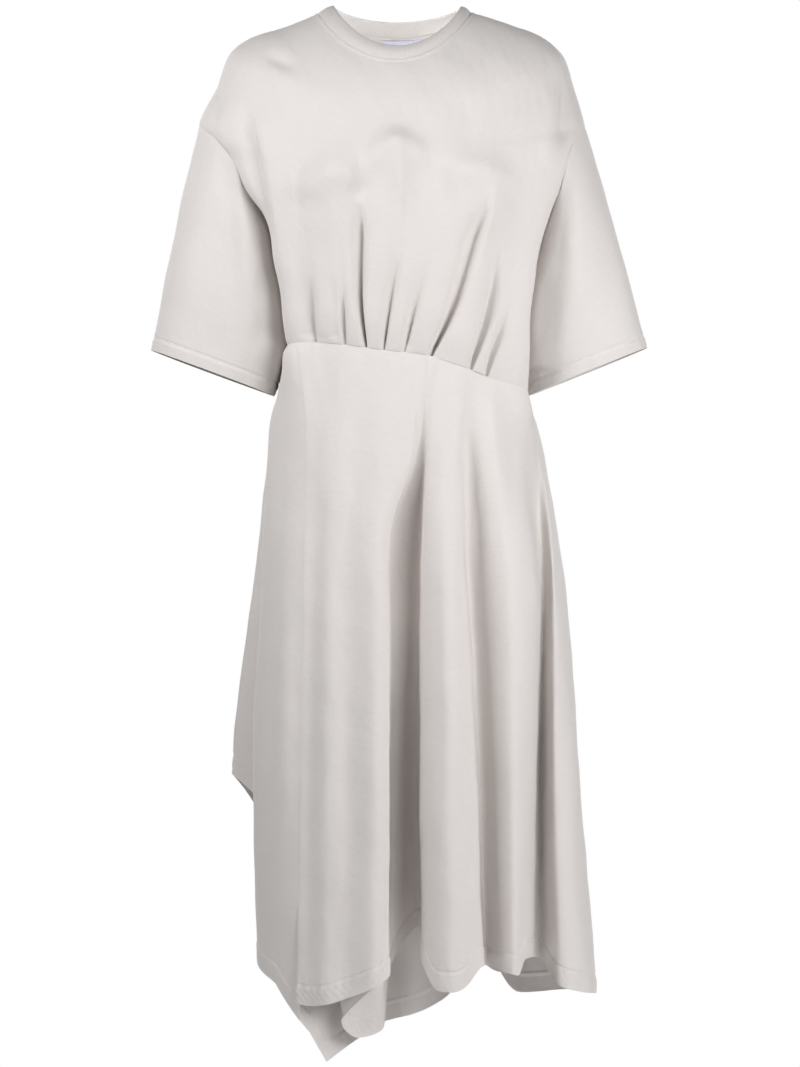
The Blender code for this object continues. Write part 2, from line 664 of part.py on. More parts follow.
def wall(name, points, facing, thickness, dress, closed=False, missing=None, depth=0.0):
    """Close a grid of outer points and the same grid moved in by the cloth's thickness to a solid."""
    outer = points - facing * depth
    inner = outer - facing * thickness
    rows, columns = points.shape[:2]
    mesh = bmesh.new()
    falling = np.linalg.norm(np.roll(outer, (-1, -1), (0, 1)) - outer, axis=-1)
    rising = np.linalg.norm(np.roll(outer, -1, 0) - np.roll(outer, -1, 1), axis=-1)
    front = [[mesh.verts.new(p * MILLIMETRE) for p in row] for row in outer]
    back = [[mesh.verts.new(p * MILLIMETRE) for p in row] for row in inner]
    for r in range(rows - 1):
        for c in range(columns if closed else columns - 1):
            if missing is not None and missing[r, c]:
                continue
            d = (c + 1) % columns
            corners = [(r, c), (r + 1, c), (r + 1, d), (r, d)]
            if rising[r, c] < falling[r, c]:
                corners = corners[1:] + corners[:1]
            for triangle in (corners[:3], corners[2:] + corners[:1]):
                mesh.faces.new([front[i][j] for i, j in triangle])
                mesh.faces.new([back[i][j] for i, j in reversed(triangle)])
    rim = [edge for edge in mesh.edges if edge.is_boundary]
    partner = {a: b for fr, br in zip(front, back) for a, b in zip(fr, br)}
    outside = set(partner)
    for edge in rim:
        if edge.verts[0] in outside:
            a, b = edge.verts
            if edge.link_loops[0].vert is a:
                a, b = b, a
            rim_corners = [a, b, partner[b], partner[a]]
            if a.co.z < b.co.z:
                rim_corners = rim_corners[1:] + rim_corners[:1]
            mesh.faces.new(rim_corners[:3])
            mesh.faces.new(rim_corners[2:] + rim_corners[:1])
    bmesh.ops.delete(mesh, geom=[v for v in mesh.verts if not v.link_faces], context="VERTS")
    bmesh.ops.recalc_face_normals(mesh, faces=mesh.faces)
    data = bpy.data.meshes.new(name)
    mesh.to_mesh(data)
    mesh.free()
    data.shade_smooth()
    data.set_sharp_from_angle(angle=math.radians(50))
    data.materials.append(dress)
    made = bpy.data.objects.new(name, data)
    bpy.data.collections[COLLECTION].objects.link(made)
    return made


def part_at_waist(points, up):
    """Move the waist edge of a panel half a seam's gap up or down."""
    row = -1 if up else 0
    points[row, :, 2] += SEAM_GAP / 2 if up else -SEAM_GAP / 2
    return points


def part_at_root(grid):
    """Start a sleeve a seam's gap below the armhole."""
    grid[0] += SEAM_GAP * 1.3 * unit(grid[1] - grid[0])
    return grid


def build():
    """Make every piece of the dress."""
    for old in list(bpy.data.objects):
        bpy.data.objects.remove(old, do_unlink=True)
    bpy.context.scene.collection.children.link(bpy.data.collections.new(COLLECTION))
    jersey = material("stone jersey", (0.72, 0.68, 0.66), 0.9)
    rib = material("stone rib", (0.70, 0.66, 0.64), 0.92)
    satin = material("lavender label", (0.62, 0.60, 0.74), 0.6)

    points, facing = bodice_front()
    wall("bodice_front", part_at_waist(points, up=True), facing, JERSEY, jersey)
    points, facing = bodice_back()
    wall("bodice_back", part_at_waist(points, up=True), facing, JERSEY, jersey)
    for name, side in (("sleeve_right", -1), ("sleeve_left", 1)):
        grid, facing = sleeve(CUFFS[name], side)
        wall(name, part_at_root(grid), facing, JERSEY, jersey, closed=True)

    place, z = skirt_panel(FRONT_FIRST, FRONT_LAST, FRONT_EACH)
    points = part_at_waist(skirt(place, z), up=False)
    wall("skirt_front", points, skirt_normals(place, z), JERSEY, jersey)
    place, z = skirt_panel(FRONT_LAST, REAR_SEAM, BACK_EACH)
    points = part_at_waist(skirt(place, z), up=False)
    wall("skirt_back", points, skirt_normals(place, z), JERSEY, jersey)
    points, facing, missing = skirt_drape()
    wall("skirt_drape", part_at_waist(points, up=False), facing, JERSEY, jersey, missing=missing)

    points, facing = neck_band()
    wall("collar", points, facing, RIB, rib, closed=True)
    points, facing = label_patch()
    wall("neck_label", points, facing, LABEL, satin, depth=JERSEY + LABEL_GAP)


build()
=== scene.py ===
"""Looks of a worn t-shirt dress: jersey panels, neck rib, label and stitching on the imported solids.

The tables are in millimetres and the meshes in metres. +Z is up, the front faces -Y and the
wearer's right side is -X. Every panel is a thin wall on the form of its solid, with its creases,
seams and hems pressed into a fine grid.
"""

import logging
import math
from dataclasses import dataclass, field
from enum import Enum
from typing import Callable, NamedTuple, Sequence

import bpy
import numpy as np
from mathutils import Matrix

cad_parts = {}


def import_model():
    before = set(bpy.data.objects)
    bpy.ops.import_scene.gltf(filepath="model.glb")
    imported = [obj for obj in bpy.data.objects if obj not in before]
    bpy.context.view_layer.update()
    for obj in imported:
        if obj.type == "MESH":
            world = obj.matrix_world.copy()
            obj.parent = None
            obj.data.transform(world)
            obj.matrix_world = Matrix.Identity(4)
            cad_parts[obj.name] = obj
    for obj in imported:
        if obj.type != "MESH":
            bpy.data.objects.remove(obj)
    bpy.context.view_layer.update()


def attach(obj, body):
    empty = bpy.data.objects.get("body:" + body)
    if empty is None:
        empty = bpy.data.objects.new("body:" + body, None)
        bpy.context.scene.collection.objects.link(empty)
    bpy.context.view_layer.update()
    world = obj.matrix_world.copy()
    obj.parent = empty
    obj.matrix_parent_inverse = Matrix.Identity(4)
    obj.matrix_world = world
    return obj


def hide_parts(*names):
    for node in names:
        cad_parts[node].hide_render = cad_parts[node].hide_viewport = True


Array = np.ndarray
Pair = tuple[float, float]
Colour = tuple[float, float, float]

MILLIMETRE = 0.001
BODY = "root"
SIDE_Y = 4.0            # shoulder seams and side seams lie a little behind the middle
DROP_SHAPE = 1.6        # how late a ring drops from its side to its middle
JERSEY_WALL = 1.3
SEAM_SINK = 0.45        # how far an edge rolls in where it is sewn
SEAM_SOFT = 1.5         # over which width

log = logging.getLogger("dress")


class Slot(Enum):
    """Material slots of the record."""
    JERSEY = "jersey"
    RIB = "rib"
    LABEL = "label"


class Side(Enum):
    """Which way a crease's place is read: on the front, on the back or on both."""
    FRONT = -1
    BACK = 1
    BOTH = 0


class Held(Enum):
    """How a sheet of cloth is held."""
    HUNG = "hung"
    GATHERED = "gathered"


# ------------------------------------------------------------------------------------ mathematics


def smooth(keys: Sequence[float], values: Sequence[float], at: Array) -> Array:
    """Monotone cubic curve through keys and values.

    Args:
        keys: rising places.
        values: one value for each key.
        at: where the curve is read.

    Returns:
        The values at those places.
    """
    keys, values = np.asarray(keys, float), np.asarray(values, float)
    at = np.clip(at, keys[0], keys[-1])
    step = np.diff(keys)
    slope = np.diff(values) / step
    tangent = np.concatenate(([slope[0]], np.zeros(len(keys) - 2), [slope[-1]]))
    same_way = slope[:-1] * slope[1:] > 0
    pair = slope[:-1] + slope[1:]
    harmonic = 2 * slope[:-1] * slope[1:] / np.where(pair == 0, 1, pair)
    tangent[1:-1] = np.where(same_way, harmonic, 0)
    i = np.clip(np.searchsorted(keys, at, side="right") - 1, 0, len(step) - 1)
    t = (at - keys[i]) / step[i]
    return (values[i] * (1 + 2 * t) * (1 - t) ** 2 + values[i + 1] * t * t * (3 - 2 * t)
            + step[i] * (tangent[i] * t * (1 - t) ** 2 - tangent[i + 1] * t * t * (1 - t)))


def ease(t: Array) -> Array:
    """Rise from 0 to 1 with level ends."""
    t = np.clip(t, 0, 1)
    return t * t * (3 - 2 * t)


def bell(t: Array) -> Array:
    """Soft hump of height 1 at 0."""
    return np.exp(-t * t)


def column(table: Sequence[NamedTuple], name: str) -> list:
    """One named column of a table."""
    return [getattr(row, name) for row in table]


def signed_power(value: Array, power: Array) -> Array:
    """A power that keeps the sign."""
    return np.sign(value) * np.abs(value) ** power


def unit(vectors: Array) -> Array:
    """Vectors of length 1."""
    return vectors / np.maximum(np.linalg.norm(vectors, axis=-1, keepdims=True), 1e-9)


def centripetal(a: Array, b: Array, c: Array, d: Array, t: Array) -> Array:
    """Rounded curve from b to c.

    Args:
        a: the point before b.
        b: where the curve starts.
        c: where it ends.
        d: the point after c.
        t: share of the way.

    Returns:
        Points of the curve.
    """
    root = [np.maximum(np.linalg.norm(q - p, axis=-1, keepdims=True), 1e-6) ** 0.5
            for p, q in ((a, b), (b, c), (c, d))]
    t1 = root[0]
    t2 = t1 + root[1]
    t3 = t2 + root[2]
    s = t1 + (t2 - t1) * t[..., None]
    ab = (a * (t1 - s) + b * s) / t1
    bc = (b * (t2 - s) + c * (s - t1)) / (t2 - t1)
    cd = (c * (t3 - s) + d * (s - t2)) / (t3 - t2)
    abc = (ab * (t2 - s) + bc * s) / t2
    bcd = (bc * (t3 - s) + cd * (s - t1)) / (t3 - t1)
    return (abc * (t2 - s) + bcd * (s - t1)) / (t2 - t1)


def lengths_along(points: Array, axis: int) -> Array:
    """Distance along a grid from its first row or column.

    Args:
        points: grid of points.
        axis: 0 down the rows, 1 across the columns.

    Returns:
        The distances, one for each point.
    """
    steps = np.linalg.norm(np.diff(points, axis=axis), axis=-1)
    start = np.zeros_like(np.take(steps, [0], axis=axis))
    return np.concatenate((start, np.cumsum(steps, axis=axis)), axis=axis)


def soft_noise(x: Array, z: Array, wavelength: float, seed: int, waves: int = 9) -> Array:
    """Even, rolling noise between about -1 and 1.

    Args:
        x: places across, in millimetres.
        z: places up.
        wavelength: mean distance from crest to crest.
        seed: which noise.
        waves: how many waves are added up.

    Returns:
        The noise at each place.
    """
    chance = np.random.default_rng(seed)
    total = np.zeros(np.broadcast(x, z).shape)
    for _ in range(waves):
        turn, phase = chance.uniform(0, 2 * math.pi, 2)
        rate = 2 * math.pi / (wavelength * chance.uniform(0.7, 1.5))
        total += np.sin(rate * (x * math.cos(turn) + z * math.sin(turn)) + phase)
    return total / math.sqrt(waves)


# ---------------------------------------------------------------------------------------- creases


@dataclass(frozen=True)
class Crease:
    """Soft trough or ridge across a panel, laid along a line as seen from the front.

    A height below 0 is a trough. The lean makes one flank steep and the other wide.
    """
    path: tuple[Pair, ...]
    width: float
    height: float
    side: Side = Side.FRONT
    lean: float = 0.0
    rise: float = 0.3
    fall: float = 0.3
    steps: int = 7

    def line(self) -> Array:
        """Points of the line, closer together than those of the table."""
        knots = np.array(self.path, float)
        if len(knots) == 2:
            return np.linspace(knots[0], knots[1], self.steps)
        knots = np.concatenate(([2 * knots[0] - knots[1]], knots, [2 * knots[-1] - knots[-2]]))
        share = np.linspace(0, 1, self.steps, endpoint=False)
        pieces = []
        for k in range(1, len(knots) - 2):
            ends = [np.broadcast_to(knots[k + j], (self.steps, 2)) for j in (-1, 0, 1, 2)]
            pieces.append(centripetal(*ends, share))
        return np.concatenate((*pieces, [knots[-2]]))

    def lift(self, points: Array) -> Array:
        """How far the crease moves a panel out.

        Args:
            points: the panel's grid, in millimetres.

        Returns:
            The move along the normal for each point.
        """
        line = self.line()
        x, y, z = points[..., 0], points[..., 1], points[..., 2]
        reach = 3 * self.width * (1 + abs(self.lean))
        near = ((x > line[:, 0].min() - reach) & (x < line[:, 0].max() + reach)
                & (z > line[:, 1].min() - reach) & (z < line[:, 1].max() + reach))
        if self.side is not Side.BOTH:
            near &= (y - SIDE_Y) * self.side.value > 0
        move = np.zeros(points.shape[:-1])
        if not near.any():
            return move
        place = np.stack((x[near], z[near]), axis=-1)
        best = np.full(len(place), np.inf)
        offset, share = np.zeros(len(place)), np.zeros(len(place))
        lengths = np.concatenate(([0], np.cumsum(np.linalg.norm(np.diff(line, axis=0), axis=1))))
        for k in range(len(line) - 1):
            start, along = line[k], line[k + 1] - line[k]
            long = np.linalg.norm(along)
            t = np.clip((place - start) @ along / long ** 2, 0, 1)
            away = place - start - t[:, None] * along
            distance = np.linalg.norm(away, axis=1)
            closer = distance < best
            sign = np.sign(along[0] * away[:, 1] - along[1] * away[:, 0])
            best = np.where(closer, distance, best)
            offset = np.where(closer, distance * sign, offset)
            share = np.where(closer, (lengths[k] + t * long) / lengths[-1], share)
        flank = self.width * (1 + self.lean * np.tanh(offset / self.width * 2))
        ends = ease(share / max(self.rise, 1e-3)) * ease((1 - share) / max(self.fall, 1e-3))
        move[near] = self.height * bell(offset / flank) * ends
        return move


# --------------------------------------------------------------------------------- form of bodice


class Section(NamedTuple):
    """One section of the bodice: 0 at the neck seam, 1 at the dropped armhole's tip,
    2 at the underarm and 3 at the waist seam."""
    at: float
    right_x: float
    right_z: float
    left_x: float
    left_z: float
    front_y: float
    front_z: float
    back_y: float
    back_z: float
    square: float


BODICE = (
    Section(0.00, -95, 9, 87, 10, -88, -56, 77, -11, 2.0),
    Section(0.20, -132, -7, 128, -3, -98, -71, 85, -27, 2.1),
    Section(0.40, -168, -18, 170, -19, -107, -88, 92, -45, 2.2),
    Section(0.60, -200, -38, 199, -43, -114, -106, 98, -69, 2.3),
    Section(0.80, -218, -80, 211, -82, -119, -128, 102, -102, 2.35),
    Section(1.00, -238, -126, 225, -130, -123, -152, 105, -138, 2.4),
    Section(1.25, -229, -142, 220, -146, -126, -168, 107, -155, 2.6),
    Section(1.50, -208, -166, 210, -170, -128, -187, 108, -176, 2.9),
    Section(1.75, -184, -199, 194, -204, -129, -211, 108, -205, 3.3),
    Section(2.00, -154, -242, 176, -246, -128, -240, 106, -240, 3.6),
    Section(2.33, -136, -293, 154, -312, -123, -292, 102, -292, 3.4),
    Section(2.66, -124, -344, 142, -380, -113, -346, 96, -346, 3.2),
    Section(3.00, -122, -397, 147, -449, -102, -402, 90, -410, 3.0),
)
TIP, UNDERARM, WAIST = 1.0, 2.0, 3.0


class SeamPoint(NamedTuple):
    """Height of the slanted waist seam over one place across the body."""
    x: float
    z: float


WAIST_SEAM = (
    SeamPoint(-135, -399), SeamPoint(-101, -390), SeamPoint(-58, -394), SeamPoint(-16, -400),
    SeamPoint(24, -404), SeamPoint(70, -417), SeamPoint(108, -432), SeamPoint(155, -452),
)


class SideFold(NamedTuple):
    """Upright fold at the side of the bodice: its angle, spread and height at five sections."""
    angle: float
    spread: float
    tip: float
    armhole: float
    underarm: float
    ribs: float
    waist: float


SIDE_FOLDS = (
    SideFold(-62, 15, 0, 5, 18, 23, 20),
    SideFold(61, 13, 0, 8, 13, 24, 19),
    SideFold(-119, 16, 0, 3, 8, 19, 14),
    SideFold(119, 16, 0, 3, 8, 14, 9),
)
SIDE_FOLD_SECTIONS = (1.0, 1.5, 2.0, 2.6, 3.0)


class Pleat(NamedTuple):
    """Unpressed pleat of the bodice front, running up and out from the waist seam.

    Its soft flank lies on the wearer's right, and the lip on the left is steep.
    """
    seam_x: float
    middle_x: float
    top_x: float
    length: float
    depth: float
    soft: float
    steady: float = 0.42


PLEATS = (
    Pleat(-94, -99, -112, 95, 8.0, 0.85),
    Pleat(-62, -64, -70, 80, 6.0, 0.85),
    Pleat(-37.5, -44.5, -43, 185, 12.0, 0.8, 0.7),
    Pleat(-16.4, -6, 10.5, 150, 7.0, 1.0),
    Pleat(8, 26, 50, 120, 5.4, 1.4),
    Pleat(40, 73, 102, 190, 13.5, 1.2, 0.68),
    Pleat(87, 110, 126, 130, 11.0, 1.0),
    Pleat(105, 123, 140, 72, 9.0, 0.8),
)
PLEAT_MIDDLE, PLEAT_TOP = 72.0, 165.0       # heights above the seam of the places in the table
PLEAT_ROOM = 9.0                            # half the distance between pleats that their columns need
PLEAT_COLUMNS = (-7.5, -5.5, -4.0, -2.8, -1.8, -1.0, -0.4, 0.1, 0.6, 1.1, 1.7, 2.5, 3.6, 5.2, 7.2)


@dataclass(frozen=True)
class BodiceForm:
    """Outer surface of the bodice. Its angle is in degrees from the front's middle."""
    armhole_front: float = 27.0
    armhole_back: float = 24.0
    soft_flank: float = 2.4
    soft_widening: float = 0.036
    steep_flank: float = 1.0
    steep_widening: float = 0.022
    pleat_caught: float = 0.5
    pleat_release: float = 14.0
    gape: float = 0.4
    lobe: float = 2.6
    lobe_height: float = 150.0
    blouse: float = 4.0
    blouse_height: float = 46.0

    def read(self, name: str, at: Array) -> Array:
        """A column of the table at section `at`."""
        return smooth(column(BODICE, "at"), column(BODICE, name), at)

    def ring_width(self, at: Array) -> tuple[Array, Array]:
        """Middle and half width of a section."""
        right, left = self.read("right_x", at), self.read("left_x", at)
        return (left + right) / 2, (left - right) / 2

    def pleat_paths(self, height: Array) -> list[Array]:
        """Where each pleat lies across the body at a height above the seam."""
        keys = (0, PLEAT_MIDDLE, PLEAT_TOP)
        return [smooth(keys, (p.seam_x, p.middle_x, p.top_x), height) for p in PLEATS]

    def pleating(self, x: Array, height: Array) -> Array:
        """How far the pleats and the fullness between them move the front out.

        Args:
            x: places across the body.
            height: heights above the waist seam.

        Returns:
            The move along the normal.
        """
        paths = self.pleat_paths(height)
        opened = self.pleat_caught + (1 - self.pleat_caught) * ease(height / self.pleat_release)
        full = ease(0.5 + height / (2 * self.blouse_height)) * 2 - 1
        move = self.blouse * full * (1 - ease(height / (3 * self.blouse_height)))
        swell = self.lobe * ease(0.5 + height / 120) * (1 - ease(height / self.lobe_height))
        for before, after in zip(paths, paths[1:]):
            share = np.clip((x - before) / (after - before), 0, 1)
            move = move + swell * 4 * share * (1 - share)
        for pleat, path in zip(PLEATS, paths):
            away = x - path
            gape = 1 + self.gape * bell((height / pleat.length - 0.5) / 0.3)
            soft = pleat.soft * gape * (self.soft_flank + self.soft_widening * height)
            steep = gape * (self.steep_flank + self.steep_widening * height)
            steady = pleat.steady * pleat.length
            fade = 1 - ease((height - steady) / (pleat.length - steady))
            move = move - pleat.depth * opened * fade * bell(away / np.where(away < 0, soft, steep))
        return move

    def table_height(self, sine: Array, cosine: Array, at: Array) -> Array:
        """Height of a section as the table gives it, at its sides and middles."""
        side = (self.read("right_z", at) * (1 - sine) + self.read("left_z", at) * (1 + sine)) / 2
        middle = np.where(cosine > 0, self.read("front_z", at), self.read("back_z", at))
        return side + (middle - side) * np.abs(cosine) ** DROP_SHAPE

    def point(self, angle: Array, at: Array, pleated: bool = True) -> Array:
        """Outer points of the bodice.

        Args:
            angle: degrees from the front's middle towards the wearer's left.
            at: section, from 0 at the neck to 3 at the waist.
            pleated: whether the pleats are in.

        Returns:
            Points in millimetres.
        """
        turn = np.radians(angle)
        sine, cosine = np.sin(turn), np.cos(turn)
        power = 2 / self.read("square", at)
        middle, half = self.ring_width(at)
        front, back = self.read("front_y", at), self.read("back_y", at)
        depth = np.where(cosine > 0, SIDE_Y - front, back - SIDE_Y)
        x = middle + half * signed_power(sine, power)
        y = SIDE_Y - depth * signed_power(cosine, power)
        z = self.table_height(sine, cosine, at)
        waist = np.float64(WAIST)
        waist_middle, waist_half = self.ring_width(waist)
        waist_x = waist_middle + waist_half * signed_power(sine, 2 / self.read("square", waist))
        seam = smooth(column(WAIST_SEAM, "x"), column(WAIST_SEAM, "z"), waist_x)
        slant = seam - self.table_height(sine, cosine, waist)
        z = z + slant * np.clip(at - UNDERARM, 0, 1) ** 2
        move = np.zeros_like(x)
        for fold in SIDE_FOLDS:
            away = (angle - fold.angle + 180) % 360 - 180
            move = move + smooth(SIDE_FOLD_SECTIONS, fold[2:], at) * bell(away / fold.spread)
        if pleated:
            front_only = ease(cosine * 3) * ease((at - 1.5) / 0.5)
            move = move + front_only * self.pleating(x, (WAIST - at) * PLEAT_TOP)
        return np.stack((x + move * sine, y - move * cosine, z), axis=-1)

    def armhole_edge(self, at: Array, notch: float) -> Array:
        """Angle at which a section ends: the side, or the armhole's edge."""
        turn = np.arccos(np.clip(1 - 2 * (at - TIP), -1, 1))
        inside = (at > TIP) & (at < UNDERARM)
        return 90.0 - notch * np.where(inside, np.sin(turn), 0)

    def even_columns(self, middle: float, at: float, count: int) -> Array:
        """Angles that share half a section out evenly along the cloth.

        Args:
            middle: angle of the half's middle.
            at: section.
            count: how many columns.

        Returns:
            The angles, counted from the middle.
        """
        fine = np.linspace(-90, 90, 721)
        line = self.point(middle + fine, np.full(fine.shape, at), pleated=False)
        along = lengths_along(line[None], 1)[0]
        return np.interp(np.linspace(0, along[-1], count), along, fine)

    def pleat_columns(self, at: float, between: int, beside: int) -> Array:
        """Angles of columns that follow the pleats of the front.

        Args:
            at: section.
            between: columns between two pleats.
            beside: columns from the outer pleats to the sides.

        Returns:
            The angles.
        """
        places: list[float] = []
        paths = [float(path) for path in self.pleat_paths(np.float64((WAIST - at) * PLEAT_TOP))]
        for before, path, after in zip([-math.inf, *paths], paths, [*paths[1:], math.inf]):
            crowd = [min(1, (path - before) / 2 / PLEAT_ROOM), min(1, (after - path) / 2 / PLEAT_ROOM)]
            own = [path + offset * crowd[offset > 0] for offset in PLEAT_COLUMNS]
            if places:
                places += list(np.linspace(places[-1], own[0], between + 2)[1:-1])
            places += own
        middle, half = self.ring_width(np.float64(at))
        share = np.clip((np.array(places) - middle) / half, -0.97, 0.97)
        inner = np.degrees(np.arcsin(signed_power(share, self.read("square", np.float64(at)) / 2)))
        right = np.linspace(-90, inner[0], beside, endpoint=False)
        left = np.linspace(90, inner[-1], beside, endpoint=False)[::-1]
        return np.concatenate((right, inner, left))

    def normals(self, angle: Array, at: Array) -> Array:
        """Outward normals of the bodice as it is before its pleats are pressed."""
        across = self.point(angle + 0.2, at, pleated=False) - self.point(angle - 0.2, at, pleated=False)
        down = self.point(angle, at + 0.004, pleated=False) - self.point(angle, at - 0.004, pleated=False)
        return unit(np.cross(down, across))


# ---------------------------------------------------------------------------------- form of skirt


class Fold(NamedTuple):
    """Ridge, valley or edge of the skirt, followed from the waist to the hem."""
    name: str
    waist_angle: float
    hip: Pair
    thigh: Pair
    knee: Pair
    shin: Pair
    hem_z: float


SKIRT = (
    Fold("front seam, right", -55, (-110, -82), (-113, -98), (-115, -108), (-118, -122), -1166),
    Fold("panel trough", -49, (-96, -89), (-100, -104), (-103, -114), (-105, -131), -1168),
    Fold("panel ridge", -42, (-80, -97), (-82, -116), (-84, -129), (-84, -147), -1165),
    Fold("broad trough", -30, (-58, -104), (-60, -121), (-60, -134), (-60, -152), -1157),
    Fold("panel crown", -8, (-4, -111), (-24, -135), (-25, -151), (-25, -167), -1142),
    Fold("overlap edge", 0, (20, -110), (-9.5, -127), (-9.5, -140), (-9.5, -153), -1130),
    Fold("overlap turn", 0.8, (22, -108.5), (-13, -113), (-32, -124), (-66, -133), -1186),
    Fold("inner lobe", 1.9, (23.5, -107.5), (-12, -104), (-26, -114), (-46, -125), -1206),
    Fold("inner lobe edge", 3.1, (25.2, -106.5), (-5, -95), (-13, -102), (-19, -112), -1198),
    Fold("deep valley", 4.4, (28, -103), (1, -86), (-4, -85), (-8, -84), -1124),
    Fold("deep valley, left", 6.4, (32, -103), (21, -90), (23, -86), (25, -86), -1080),
    Fold("first lobe edge", 8.5, (37, -107), (28.5, -116), (28, -130), (29.5, -140), -1118),
    Fold("first lobe", 13.6, (52, -110), (54, -138), (58, -156), (62, -170), -1147),
    Fold("first lobe, left", 20.4, (76, -108), (88, -127), (94, -140), (103, -149), -1120),
    Fold("second valley", 26, (90, -103), (104, -110), (109, -113), (114, -112), -1123),
    Fold("second lobe", 36.6, (114, -98), (133, -124), (135, -138), (135, -148), -1129),
    Fold("second lobe, left", 51, (141, -78), (160, -106), (155, -118), (148, -128), -1113),
    Fold("front seam, left", 73, (163, -46), (173, -74), (172, -76), (170, -74), -1119),
    Fold("third lobe edge", 80, (166, -33), (184, -84), (184, -98), (191, -112), -1147),
    Fold("third lobe", 86, (169, -17), (194, -66), (203, -84), (217, -104), -1155),
    Fold("left side", 97, (170, 8), (202, -22), (215, -34), (236, -48), -1162),
    Fold("left rear trough", 108, (165, 33), (193, 26), (204, 24), (221, 22), -1168),
    Fold("left rear lobe", 121, (147, 67), (174, 84), (188, 94), (204, 104), -1174),
    Fold("rear valley 1", 134, (112, 90), (128, 98), (138, 102), (150, 108), -1178),
    Fold("rear lobe 1", 147, (80, 104), (86, 132), (96, 152), (108, 168), -1140),
    Fold("rear valley 2", 161, (36, 104), (40, 116), (48, 122), (54, 128), -1190),
    Fold("rear lobe 2", 176, (-8, 109), (-5, 134), (0, 154), (4, 172), -1216),
    Fold("rear valley 3", 191, (-43, 102), (-45, 114), (-48, 120), (-50, 126), -1222),
    Fold("rear lobe 3", 207, (-76, 96), (-84, 118), (-92, 136), (-98, 150), -1214),
    Fold("rear seam", 219, (-100, 83), (-108, 96), (-116, 106), (-124, 116), -1180),
    Fold("drape back", 232, (-125, 69), (-142, 84), (-152, 94), (-158, 98), -984),
    Fold("drape corner", 248, (-152, 40), (-178, 52), (-200, 60), (-206, 62), -908),
    Fold("drape inner turn", 262, (-150, 6), (-142, 18), (-122, 20), (-110, 20), -1006),
    Fold("drape edge", 278, (-154, -30), (-164, -36), (-173, -40), (-166, -44), -1119),
    Fold("drape side", 292, (-132, -63), (-140, -78), (-146, -86), (-146, -92), -1146),
)
FRONT_FIRST, FRONT_LAST, REAR_SEAM = 0, 17, 29      # rows of the table that are seams


class Bend(NamedTuple):
    """Place where a fold of the skirt strays from its table, more finely than the solid shows."""
    fold: str
    z: float
    x: float
    y: float
    above: float
    below: float


BENDS = (
    Bend("panel crown", -600, -6, 0, 60, 60),
    Bend("overlap edge", -600, -11, 3, 55, 60),
    Bend("overlap turn", -600, -17, 10, 60, 80),
    Bend("inner lobe", -600, -19, 15, 60, 80),
    Bend("inner lobe edge", -600, -18, 16, 60, 90),
    Bend("deep valley", -610, -9, 15, 75, 90),
    Bend("deep valley, left", -620, 2, 11, 75, 90),
    Bend("deep valley", -425, 0, -2.5, 20, 35),
    Bend("deep valley, left", -425, 0, -2.5, 20, 35),
    Bend("deep valley", -880, 0, 6, 150, 250),
    Bend("deep valley, left", -880, 0, 4, 150, 250),
    Bend("first lobe, left", -680, -9, 0, 140, 220),
    Bend("first lobe, left", -1050, -5, 0, 200, 300),
    Bend("second valley", -660, -18, 17, 130, 260),
    Bend("second valley", -1050, -9, 10, 200, 300),
    Bend("second lobe", -700, -2, 0, 150, 220),
    Bend("front seam, left", -640, -1, 8, 110, 150),
    Bend("front seam, left", -900, -3, 15, 150, 300),
)


class HemBend(NamedTuple):
    """Place round the hem where it strays from its folds."""
    place: float
    drop: float
    width: float


HEM_BENDS = (
    HemBend(11.45, 9, 0.32),
    HemBend(12.5, 6, 0.35),
    HemBend(14.35, 3, 0.3),
    HemBend(15.5, 8, 0.32),
)


class PointFold(NamedTuple):
    """Place on the drape's long corner, which hangs behind the front panel's hem."""
    x: float
    y: float
    top_z: float
    hem_z: float


LONG_CORNER = (
    PointFold(-103, -115, -1108, -1201),
    PointFold(-84, -110, -1118, -1236),
    PointFold(-63, -104, -1128, -1221),
    PointFold(-41, -97, -1140, -1206),
)


